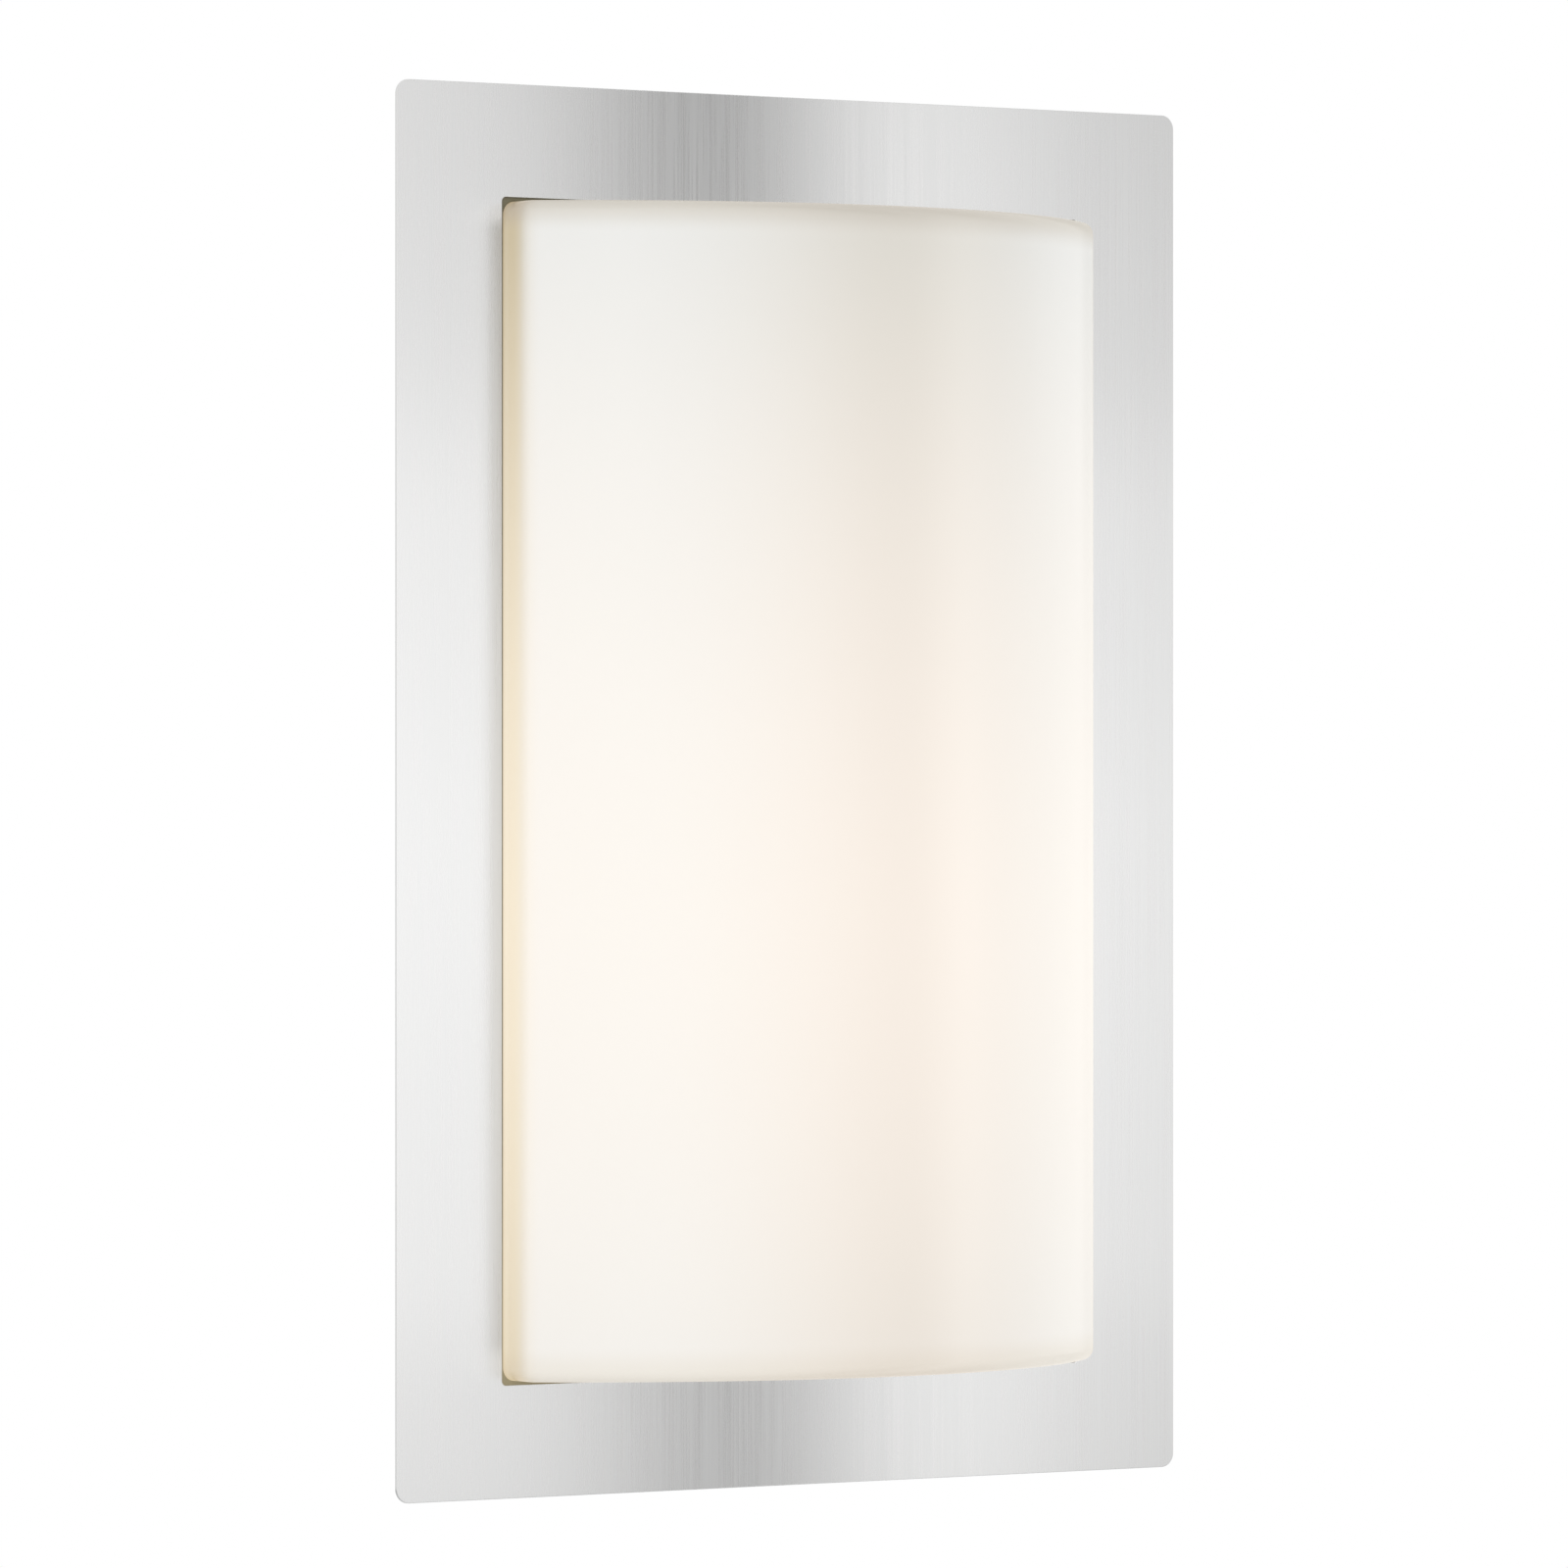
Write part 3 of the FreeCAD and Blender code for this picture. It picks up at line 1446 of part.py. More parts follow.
def make_terminal_block():
    """Three-pole terminal strip: webs between barrels, screw chimneys and wire holes."""
    body = new_body("terminal_block")
    low = dim("block_height") - dim("block_rise") / 2
    front = floor_front + dim("block_depth")
    web = new_sketch(body, "XY_Plane", low)
    half = dim("block_width") / 2
    middle = dim("block_across")
    web_front = floor_front + dim("web_depth")
    draw_box(web, middle - half, middle + half, -web_front, -floor_front)
    pad(body, web, dim("block_rise"))
    poles = new_sketch(body, "XY_Plane", low)
    half = dim("pole_width") / 2
    for pole in pole_places():
        draw_box(poles, pole - half, pole + half, -front, -floor_front)
    barrels = pad(body, poles, dim("block_rise"))

    def is_front_corner(edge):
        box = edge.BoundBox
        upright = box.ZLength > dim("block_rise").value - TINY
        return upright and abs(box.YMin + front.value) < 1e-4

    chamfer(body, barrels, edges_of(barrels, is_front_corner), dim("pole_bevel"))
    chimneys = new_sketch(body, "XZ_Plane", front)
    for pole in pole_places():
        for end in (-1, 1):
            up = dim("block_height") + end * dim("chimney_offset")
            draw_circle(chimneys, pole, up, dim("chimney_radius"))
    pocket(body, chimneys, dim("chimney_depth"))
    recesses = new_sketch(body, "XZ_Plane", front)
    bores = new_sketch(body, "XZ_Plane", front)
    for side in (-1, 1):
        across = middle + side * dim("pole_spacing") / 2
        draw_circle(recesses, across, dim("block_height"), dim("fixing_recess_radius"))
        draw_circle(bores, across, dim("block_height"), dim("small_screw_radius"))
    pocket(body, recesses, dim("block_depth") - dim("web_depth"))
    pocket(body, bores, dim("block_depth"))
    for end in (-1, 1):
        wires = new_sketch(body, "XY_Plane", dim("block_height") + end * dim("block_rise") / 2)
        for pole in pole_places():
            draw_circle(wires, pole, -dim("wire_depth"), dim("wire_hole_radius"))
        pocket(body, wires, dim("wire_hole_depth"), reverse=end < 0)
    return keep(body)


def make_terminal_screws():
    """Clamping screws down in the terminal block's chimneys."""
    seat = floor_front + dim("block_depth") - dim("chimney_depth")
    master = new_body("terminal_screws_one")
    disc = new_sketch(master, "XZ_Plane")
    draw_circle(disc, 0, 0, dim("terminal_screw_radius"))
    pad(master, disc, dim("terminal_screw_height"))
    cut = new_sketch(master, "XZ_Plane", dim("terminal_screw_height"))
    half = dim("slot_cut") / 2
    reach = dim("terminal_screw_radius") + 1
    draw_box(cut, -half, half, -reach, reach)
    pocket(master, cut, dim("slot_cut"))
    places = [
        {
            "across": pole,
            "depth": seat,
            "up": dim("block_height") + end * dim("chimney_offset"),
        }
        for pole in pole_places()
        for end in (-1, 1)
    ]
    return group_of("terminal_screws", master, places)


def lead_places():
    """Where the live and neutral leads meet the lampholder."""
    return [
        {"across": side * dim("lead_spacing") / 2, "depth": dim("lamp_depth")}
        for side in (-1, 1)
    ]


def make_holder_terminals():
    """Brass terminals on top of the lampholder, each with a wire hole facing the wall."""
    master = new_body("lampholder_terminal")
    low = dim("holder_top_height")
    half_width = dim("lead_terminal_width") / 2
    half_length = dim("lead_terminal_length") / 2
    outline = new_sketch(master, "XY_Plane", low)
    draw_box(outline, -half_width, half_width, -half_length, half_length)
    pad(master, outline, dim("lead_terminal_height"))
    wire_hole = new_sketch(master, "XZ_Plane", -half_length)
    draw_circle(wire_hole, 0, dim("lead_height"), dim("wire_hole_radius"))
    pocket(master, wire_hole, dim("lead_hole_depth"), reverse=True)
    screw_hole = new_sketch(master, "XY_Plane", low + dim("lead_terminal_height"))
    draw_circle(screw_hole, 0, 0, dim("lead_screw_radius"))
    pocket(master, screw_hole, dim("lead_screw_depth"))
    return group_of("lampholder_terminals", master, lead_places())


def make_lead_screws():
    """Slotted screws in the lampholder's terminals."""
    master = new_body("lead_screws_one")
    low = dim("holder_top_height") + dim("lead_terminal_height") - dim("lead_screw_depth")
    disc = new_sketch(master, "XY_Plane", low)
    draw_circle(disc, 0, 0, dim("lead_screw_radius"))
    pad(master, disc, dim("lead_screw_length"))
    cut = new_sketch(master, "XY_Plane", low + dim("lead_screw_length"))
    half = dim("slot_cut") / 3
    reach = dim("lead_screw_radius") + 1
    draw_box(cut, -half, half, -reach, reach)
    pocket(master, cut, dim("lead_slot_depth"))
    return group_of("lead_screws", master, lead_places())


def make_lead(label, side):
    """Insulated lead from the terminal block down and forward to the lampholder."""
    body = new_body(label)
    across = side * dim("lead_spacing") / 2
    start = dim("block_height") - dim("block_rise") / 2 + dim("wire_hole_depth")
    rear = dim("lamp_depth") - dim("lead_terminal_length") / 2
    end = rear + dim("lead_hole_depth")
    drop = dim("lead_height")
    route = new_sketch(body, "YZ_Plane", across)
    corners = [
        (-dim("wire_depth"), start),
        (-dim("wire_depth"), drop + 20),
        (-dim("wire_depth") - 4.8, drop + 7),
        (-dim("wire_depth") - 15.8, drop),
        (-end, drop),
    ]
    radii = draw_route(route, corners)
    print(f"{label}: bends of {', '.join(f'{radius:.0f}' for radius in radii)} mm")
    profile = new_sketch(body, "XY_Plane", start)
    draw_circle(profile, across, -dim("wire_depth"), dim("wire_radius"))
    pipe(body, profile, route)
    return keep(body)


def make_earth_wire():
    """Earth wire from the third pole round to the ring terminal on the pan's stud."""
    body = new_body("earth_wire")
    start = dim("block_height") - dim("block_rise") / 2 + dim("wire_hole_depth")
    across = dim("block_across") + dim("pole_spacing")
    stud = dim("earth_across")
    end = dim("earth_wire_end")
    route = new_sketch(body, "XZ_Plane", dim("wire_depth"))
    low = dim("earth_wire_low")
    corners = [(across, start), (across, low), (stud, low), (stud, end)]
    radii = draw_route(route, corners)
    print(f"earth_wire: bends of {', '.join(f'{radius:.0f}' for radius in radii)} mm")
    profile = new_sketch(body, "XY_Plane", start)
    draw_circle(profile, across, -dim("wire_depth"), dim("wire_radius"))
    pipe(body, profile, route)
    return keep(body)


def make_earth_stud():
    """Stud welded to the pan floor."""
    body = new_body("earth_stud")
    circle = new_sketch(body, "XZ_Plane", floor_front)
    draw_circle(
        circle, dim("earth_across"), dim("earth_height"), dim("earth_stud_radius")
    )
    shank = pad(body, circle, dim("earth_stud_length"))
    tip = (floor_front + dim("earth_stud_length")).value
    names = edges_of(shank, lambda edge: at_depth(edge, tip))
    chamfer(body, shank, names, dim("earth_stud_radius") / 4)
    return keep(body)


def make_earth_nuts():
    """Nuts below and above the ring terminal."""
    master = new_body("earth_nut")
    outline = new_sketch(master, "XZ_Plane")
    draw_hexagon(outline, 0, 0, dim("earth_nut_flats"))
    draw_circle(outline, 0, 0, dim("earth_stud_radius"))
    pad(master, outline, dim("earth_nut_thickness"))
    above = floor_front + dim("earth_nut_thickness") + dim("earth_ring_sheet")
    places = [
        {"across": dim("earth_across"), "depth": depth, "up": dim("earth_height")}
        for depth in (floor_front, above)
    ]
    return group_of("earth_nuts", master, places)


def make_earth_terminal():
    """Ring terminal with a crimped barrel that hangs below the stud."""
    body = new_body("earth_terminal")
    seat = floor_front + dim("earth_nut_thickness")
    ring = new_sketch(body, "XZ_Plane", seat)
    draw_circle(ring, dim("earth_across"), dim("earth_height"), dim("earth_ring_radius"))
    pad(body, ring, dim("earth_ring_sheet"))
    neck = new_sketch(body, "XZ_Plane", seat)
    left = dim("earth_across") - dim("earth_barrel_radius")
    right = dim("earth_across") + dim("earth_barrel_radius")
    bottom = dim("earth_barrel_top") - dim("earth_barrel_length")
    draw_box(neck, left, right, bottom, dim("earth_height"))
    pad(body, neck, dim("earth_ring_sheet"))
    barrel = new_sketch(body, "XY_Plane", bottom)
    radius = dim("earth_barrel_radius")
    draw_circle(barrel, dim("earth_across"), -dim("wire_depth"), radius)
    pad(body, barrel, dim("earth_barrel_length"))
    stud_hole = new_sketch(body, "XZ_Plane", plate_back)
    draw_circle(
        stud_hole, dim("earth_across"), dim("earth_height"), dim("earth_stud_radius")
    )
    pocket(body, stud_hole, plate_back - dim("pan_back"))
    wire_hole = new_sketch(body, "XY_Plane", bottom)
    draw_circle(wire_hole, dim("earth_across"), -dim("wire_depth"), dim("wire_radius"))
    pocket(body, wire_hole, dim("earth_wire_end") - bottom, reverse=True)
    return keep(body)


# ---------------------------------------------------------------- build and write


def check_document():
    """Stop if any object failed or any node's shape is unusable."""
    doc.recompute()
    failed = [
        item.Label
        for item in doc.Objects
        if "Invalid" in item.State or "Error" in item.State
    ]
    if failed:
        raise RuntimeError(f"objects failed: {failed}")
    for item in nodes:
        if item.Shape.isNull() or not item.Shape.isValid() or not item.Shape.Solids:
            raise RuntimeError(f"{item.Label} has no valid solid")


def write_nodes():
    """Write each node's shape to its own STEP file."""
    os.makedirs("parts", exist_ok=True)
    for item in nodes:
        item.Shape.exportStep(os.path.join("parts", f"{item.Label}.step"))
        print(f"{item.Label}: {len(item.Shape.Solids)} solid(s), {item.Shape.Volume:.0f} mm3")


make_face_plate()
make_glass_shade()
make_shade_gasket()
make_shade_clips()
make_clip_studs()
make_clip_nuts()
make_frame_hooks()
make_latch_lug()
make_wall_pan()
make_wall_gasket()
make_rim_seal()
make_cable_grommet()
make_hinge_brackets()
make_hinge_pins()
make_lock_block()
make_locking_screw()
make_locking_washer()
make_holder_body()
make_holder_shell()
make_holder_contact()
make_holder_bracket()
make_bulb_glass()
make_bulb_cap()
make_bulb_insulator()
make_bulb_contact()
make_holder_screws()
make_bracket_screws()
make_block_screws()
make_terminal_block()
make_terminal_screws()
make_holder_terminals()
make_lead_screws()
make_lead("live_lead", -1)
make_lead("neutral_lead", 1)
make_earth_wire()
make_earth_stud()
make_earth_nuts()
make_earth_terminal()
check_document()
write_nodes()
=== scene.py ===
"""Looks of a flat framed outdoor wall light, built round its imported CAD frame.

A brushed steel face plate carries an opal glass shade that bows forward through its
cut-out. Both swing up from a shallow painted wall pan, which holds a lamp, its holder
and the supply terminals. Everything is in metres: +Z is up, the wall is the plane
y = 0 and the light looks along -Y.
"""

import logging
import math
from dataclasses import dataclass
from enum import Enum
from functools import cache
from typing import Callable, Optional, Protocol, Sequence

import bmesh
import bpy
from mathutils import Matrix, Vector


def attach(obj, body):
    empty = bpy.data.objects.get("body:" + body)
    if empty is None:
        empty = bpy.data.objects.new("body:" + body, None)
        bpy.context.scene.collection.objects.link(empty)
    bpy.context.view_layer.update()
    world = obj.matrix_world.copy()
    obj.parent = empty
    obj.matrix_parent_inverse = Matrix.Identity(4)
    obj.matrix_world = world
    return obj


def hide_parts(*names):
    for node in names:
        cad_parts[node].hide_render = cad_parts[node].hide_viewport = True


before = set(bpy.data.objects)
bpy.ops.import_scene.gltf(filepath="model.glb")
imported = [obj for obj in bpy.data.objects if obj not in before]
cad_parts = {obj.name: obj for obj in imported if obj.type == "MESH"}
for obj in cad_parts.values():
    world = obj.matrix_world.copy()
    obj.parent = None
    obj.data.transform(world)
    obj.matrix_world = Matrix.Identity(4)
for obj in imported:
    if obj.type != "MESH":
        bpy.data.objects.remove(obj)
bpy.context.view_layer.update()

logging.basicConfig(level=logging.INFO, format="%(levelname)s %(message)s")
log = logging.getLogger("wall_light")

MM = 0.001
# Two places nearer than this are the same place to a test.
SAME = 0.01 * MM
# Points nearer than this are merged: on turned pieces and rings, and in threads and outlines.
WELD = 0.004 * MM
FINE_WELD = 0.002 * MM
# The span that holds most values of a mask.
MOST = (0.2, 0.8)
BLACK = (0.0, 0.0, 0.0)
WHITE = (1.0, 1.0, 1.0)
Colour = tuple[float, float, float]
Place = tuple[float, float, float]
Pair = tuple[float, float]
Test = Callable[[Vector, Vector], bool]


@dataclass(frozen=True)
class Layout:
    """The sizes that more than one sub-assembly keeps to.

    Depths are how far in front of the wall a face is, and heights are from the plate's middle.
    """

    plate_front: float = 40 * MM
    plate_back: float = 39 * MM
    glass_half_width: float = 96.25 * MM
    glass_half_height: float = 158.5 * MM
    rim_front: float = 37 * MM
    rim_reach: float = 5.25 * MM
    rim_corner: float = 9 * MM
    floor_back: float = 2 * MM
    floor_front: float = 3.2 * MM
    lamp_depth: float = 42 * MM
    lamp_pitch: float = 3.63 * MM
    lamp_middle: float = -30 * MM


LAYOUT = Layout()


# ------------------------------------------------------------------ modelling helpers


class Part(Enum):
    """Which elements of a mesh a selection is about."""

    FACE = "FACE"
    EDGE = "EDGE"
    VERT = "VERT"


def only(piece: bpy.types.Object) -> bpy.types.Object:
    """Makes one piece the only selected and active object.

    Args:
        piece: The object to work on.

    Returns:
        The same object.
    """
    if bpy.context.mode != "OBJECT":
        bpy.ops.object.mode_set(mode="OBJECT")
    for other in list(bpy.context.selected_objects):
        other.select_set(False)
    piece.select_set(True)
    bpy.context.view_layer.objects.active = piece
    return piece


def started(name: str) -> bpy.types.Object:
    """Names the primitive that was just added and opens it in edit mode.

    Args:
        name: The piece's name.

    Returns:
        The new object.
    """
    piece = bpy.context.active_object
    piece.name = name
    piece.data.name = name
    only(piece)
    bpy.ops.object.transform_apply(location=True, rotation=True, scale=True)
    bpy.ops.object.mode_set(mode="EDIT")
    bpy.ops.mesh.select_all(action="DESELECT")
    return piece


def pick(piece: bpy.types.Object, part: Part, test: Test) -> int:
    """Selects, in edit mode, the elements whose middle and normal pass a test.

    Args:
        piece: The object in edit mode.
        part: Faces, edges or vertices.
        test: Takes the middle and the normal (an edge's is its direction).

    Returns:
        How many elements are selected.
    """
    bpy.ops.mesh.select_mode(type=part.value)
    bpy.ops.mesh.select_all(action="DESELECT")
    mesh = bmesh.from_edit_mesh(piece.data)
    found = 0
    if part is Part.FACE:
        for face in mesh.faces:
            if test(face.calc_center_median(), face.normal):
                face.select_set(True)
                found += 1
    elif part is Part.EDGE:
        for edge in mesh.edges:
            ends = [vertex.co for vertex in edge.verts]
            if test((ends[0] + ends[1]) / 2, (ends[1] - ends[0]).normalized()):
                edge.select_set(True)
                found += 1
    else:
        for vertex in mesh.verts:
            if test(vertex.co, vertex.normal):
                vertex.select_set(True)
                found += 1
    bmesh.update_edit_mesh(piece.data)
    return found


def pick_all(part: Part = Part.FACE) -> None:
    """Selects everything in edit mode."""
    bpy.ops.mesh.select_mode(type=part.value)
    bpy.ops.mesh.select_all(action="SELECT")


def tidy_mesh(distance: float = 0.001 * MM) -> None:
    """Merges doubles and turns every face outwards, in edit mode.

    Args:
        distance: How close two points are when they are one.
    """
    pick_all(Part.VERT)
    bpy.ops.mesh.remove_doubles(threshold=distance)
    bpy.ops.mesh.normals_make_consistent(inside=False)


def closed(piece: bpy.types.Object, smooth_below: float = 35.0) -> bpy.types.Object:
    """Leaves edit mode and gives a finished piece its shading.

    Args:
        piece: The object in edit or object mode.
        smooth_below: Edges flatter than this many degrees are shaded smooth.

    Returns:
        The same object.
    """
    only(piece)
    bpy.ops.object.shade_smooth_by_angle(angle=math.radians(smooth_below))
    return piece


def modified(piece: bpy.types.Object, kind: str, **settings: object) -> None:
    """Adds one modifier to a piece and applies it.

    Args:
        piece: The object to change.
        kind: Blender's name for the modifier type.
        settings: Properties of the modifier.
    """
    only(piece)
    change = piece.modifiers.new(kind.title(), kind)
    for key, value in settings.items():
        setattr(change, key, value)
    bpy.ops.object.modifier_apply(modifier=change.name)


def combined(piece: bpy.types.Object, tool: bpy.types.Object, operation: str) -> None:
    """Joins a tool to a piece or cuts it away, and removes the tool.

    Args:
        piece: The object to change.
        tool: The object that is added or cut away.
        operation: UNION, DIFFERENCE or INTERSECT.
    """
    modified(piece, "BOOLEAN", operation=operation, object=tool, solver="EXACT")
    bpy.data.objects.remove(tool)


def block(name: str, low: Sequence[float], high: Sequence[float]) -> bpy.types.Object:
    """Adds a cube stretched between two corners, open in edit mode.

    Args:
        name: The piece's name.
        low: Its lowest corner.
        high: Its highest corner.

    Returns:
        The new object.
    """
    middle = [(a + b) / 2 for a, b in zip(low, high)]
    size = [b - a for a, b in zip(low, high)]
    bpy.ops.mesh.primitive_cube_add(size=1.0, location=middle, scale=size)
    return started(name)


def chain(name: str, start: Place) -> bpy.types.Object:
    """Starts a mesh that is one point, ready to be extruded or spun.

    Args:
        name: The piece's name.
        start: Where the point stands.

    Returns:
        The new object, in edit mode with the point selected.
    """
    bpy.ops.mesh.primitive_plane_add(size=2 * MM, location=start)
    piece = started(name)
    pick_all(Part.VERT)
    bpy.ops.mesh.merge(type="CENTER")
    pick_all(Part.VERT)
    return piece


def drawn(offset: Place) -> None:
    """Extrudes the selection by an offset, in edit mode."""
    bpy.ops.mesh.extrude_region_move(TRANSFORM_OT_translate={"value": offset})


def spun(centre: Place, degrees: float, steps: int, axis: Place = (0.0, 0.0, 1.0)) -> None:
    """Spins the selection about an axis, in edit mode.

    Args:
        centre: A point on the axis.
        degrees: How far it turns.
        steps: How many pieces the arc has.
        axis: The axis direction.
    """
    bpy.ops.mesh.spin(
        steps=steps, angle=-math.radians(degrees), center=centre, axis=axis, dupli=False
    )


class Axis(Enum):
    """Which way a turned or threaded piece points: up, or out from the wall."""

    UP = (0.0, 0.0, 1.0)
    OUT = (0.0, -1.0, 0.0)

    def spot(self, centre: Place, radius: float, along: float) -> Vector:
        """A place beside the axis.

        Args:
            centre: The axis's zero.
            radius: How far to the right of the axis the place is.
            along: How far along the axis it is.

        Returns:
            The place.
        """
        return Vector(centre) + Vector((radius, 0.0, 0.0)) + Vector(self.value) * along


class Way(Enum):
    """Which way an outline runs: away from its middle, back to it, to the front, to the wall."""

    OUT = (1.0, 0.0)
    IN = (-1.0, 0.0)
    FRONT = (0.0, 1.0)
    WALL = (0.0, -1.0)


def turned(
    name: str, centre: Place, points: Sequence[Pair], axis: Axis = Axis.UP, steps: int = 64
) -> bpy.types.Object:
    """Turns an outline about an axis, as on a lathe.

    Args:
        name: The piece's name.
        centre: The axis's zero.
        points: Radius and place along the axis of each corner, in order. A tube's last
            corner is its first again, and a solid piece starts and ends on the axis.
        axis: The axis's direction.
        steps: How many faces go round.

    Returns:
        The object, in object mode.
    """
    spots = [axis.spot(centre, *point) for point in points]
    piece = chain(name, tuple(spots[0]))
    for before, after in zip(spots, spots[1:]):
        drawn(tuple(after - before))
    pick_all(Part.EDGE)
    spun(centre, 360.0, steps, axis.value)
    tidy_mesh(WELD)
    return only(piece)


def rounded_corner(corner: Pair, before: Way, after: Way, radius: float, steps: int = 4) -> list[Pair]:
    """Points round one square corner of an outline.

    Args:
        corner: The sharp corner.
        before: The way from the corner back along the outline.
        after: The way from the corner on along the outline.
        radius: The rounding's radius.
        steps: How many pieces the arc has.

    Returns:
        The arc's points in order.
    """
    middle = [c + radius * (b + a) for c, b, a in zip(corner, before.value, after.value)]
    found = []
    for step in range(steps + 1):
        turn = math.radians(90.0 * step / steps)
        found.append(tuple(
            m - radius * (a * math.cos(turn) + b * math.sin(turn))
            for m, a, b in zip(middle, after.value, before.value)
        ))
    return found


def threaded(
    name: str, centre: Place, span: Pair, root: float, crest: float, pitch: float,
    axis: Axis = Axis.UP, steps: int = 32,
) -> bpy.types.Object:
    """Winds a screw thread up a rod and cuts both ends square.

    Args:
        name: The piece's name.
        centre: The axis's zero.
        span: Where the rod starts and ends along the axis.
        root: The radius between the turns.
        crest: The radius on the turns.
        pitch: How far apart the turns are.
        axis: The axis's direction.
        steps: How many faces go round.

    Returns:
        The closed rod, in object mode.
    """
    low, high = span
    spare_turns = 3
    crest_round = 0.25
    cut_at = 1.385
    turns = math.ceil((high - low) / pitch) + spare_turns
    rod = chain(name, (root, 0.0, 0.0))
    flank = crest - (crest - root) * crest_round
    shape = ((root, 0.10), (flank, 0.36), (crest, 0.5), (flank, 0.64), (root, 0.90), (root, 1.0))
    last = (root, 0.0)
    for radius, share in shape:
        drawn((radius - last[0], 0.0, share * pitch - last[1]))
        last = (radius, share * pitch)
    modified(rod, "SCREW", angle=math.tau, screw_offset=pitch, iterations=turns, steps=steps,
             render_steps=steps, axis="Z", use_merge_vertices=False)
    bpy.ops.object.mode_set(mode="EDIT")
    pick_all(Part.VERT)
    bpy.ops.mesh.remove_doubles(threshold=pitch * 0.01)
    # The cuts pass between the thread's own points, not through them.
    foot = pitch * cut_at
    for level, up in ((foot, -1.0), (foot + high - low, 1.0)):
        pick_all(Part.FACE)
        bpy.ops.mesh.bisect(plane_co=(0, 0, level), plane_no=(0, 0, up), use_fill=True, clear_outer=True,
                            threshold=1e-7)
    tidy_mesh(FINE_WELD)
    only(rod)
    if axis is Axis.OUT:
        rod.rotation_euler = (math.radians(90.0), 0.0, 0.0)
    rod.location = axis.spot(centre, 0.0, low - foot)
    bpy.ops.object.transform_apply(location=True, rotation=True, scale=True)
    return rod


def ringed(
    name: str, profile: Sequence[Pair], half_width: float, half_height: float, corner: float,
    steps: int = 10,
) -> bpy.types.Object:
    """Runs a closed profile round an upright rounded rectangle.

    Args:
        name: The piece's name.
        profile: The profile's corners in order: how far outside the rectangle and how far in
            front of the wall each one is.
        half_width: Half the rectangle's width.
        half_height: Half its height.
        corner: Its corner radius.
        steps: How many faces each corner has.

    Returns:
        The closed ring, in object mode.
    """
    spots = [Vector((half_width + out, -depth, 0.0)) for out, depth in profile]
    ring = chain(name, tuple(spots[0]))
    for before, after in zip(spots, spots[1:] + spots[:1]):
        drawn(tuple(after - before))
    pick_all(Part.VERT)
    bpy.ops.mesh.remove_doubles(threshold=FINE_WELD)
    pick_all(Part.EDGE)
    reach_x, reach_z = half_width - corner, half_height - corner
    legs = ((0.0, reach_z), (-2 * reach_x, 0.0), (0.0, -2 * reach_z), (2 * reach_x, 0.0), (0.0, reach_z))
    turns = ((reach_x, reach_z), (-reach_x, reach_z), (-reach_x, -reach_z), (reach_x, -reach_z))
    for index, leg in enumerate(legs):
        drawn((leg[0], 0.0, leg[1]))
        if index < len(turns):
            spun((turns[index][0], 0.0, turns[index][1]), 90.0, steps, Axis.OUT.value)
    tidy_mesh(WELD)
    return only(ring)


def copied(piece: bpy.types.Object, name: str, offset: Place, turn: float = 0.0) -> bpy.types.Object:
    """Copies a piece with its own mesh, turned about the middle of the wall and moved.

    Args:
        piece: The piece that is copied.
        name: The copy's name.
        offset: How far the copy is moved.
        turn: How many degrees it turns about the way out of the wall first.

    Returns:
        The copy.
    """
    only(piece)
    bpy.ops.object.duplicate()
    copy = bpy.context.active_object
    copy.name = name
    copy.data.name = name
    copy.rotation_euler = (0.0, -math.radians(turn), 0.0)
    copy.location = offset
    bpy.ops.object.transform_apply(location=True, rotation=True, scale=True)
    return only(copy)


def dress_cad(material: bpy.types.Material, *names: str) -> None:
    """Gives CAD nodes a finish.

    Args:
        material: The finish.
        names: The nodes.
    """
    for name in names:
        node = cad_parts[name]
        if not node.material_slots:
            node.data.materials.append(material)
        for place in node.material_slots:
            place.material = material
        log.info("dressed %s in %s", name, material.name)


def placed(
    piece: bpy.types.Object, body: str, material: bpy.types.Material, node: str
) -> bpy.types.Object:
    """Dresses a finished piece and ties it to its body.

    Args:
        piece: The finished mesh.
        body: The CAD body that it rides on.
        material: Its finish.
        node: The CAD node that it stands for, alone or with its like.

    Returns:
        The same object.
    """
    only(piece)
    piece.data.materials.clear()
    piece.data.materials.append(material)
    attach(piece, body)
    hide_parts(node)
    log.info("built %s on %s, %d faces", piece.name, body, len(piece.data.polygons))
    return piece


# ------------------------------------------------------------------ shader building


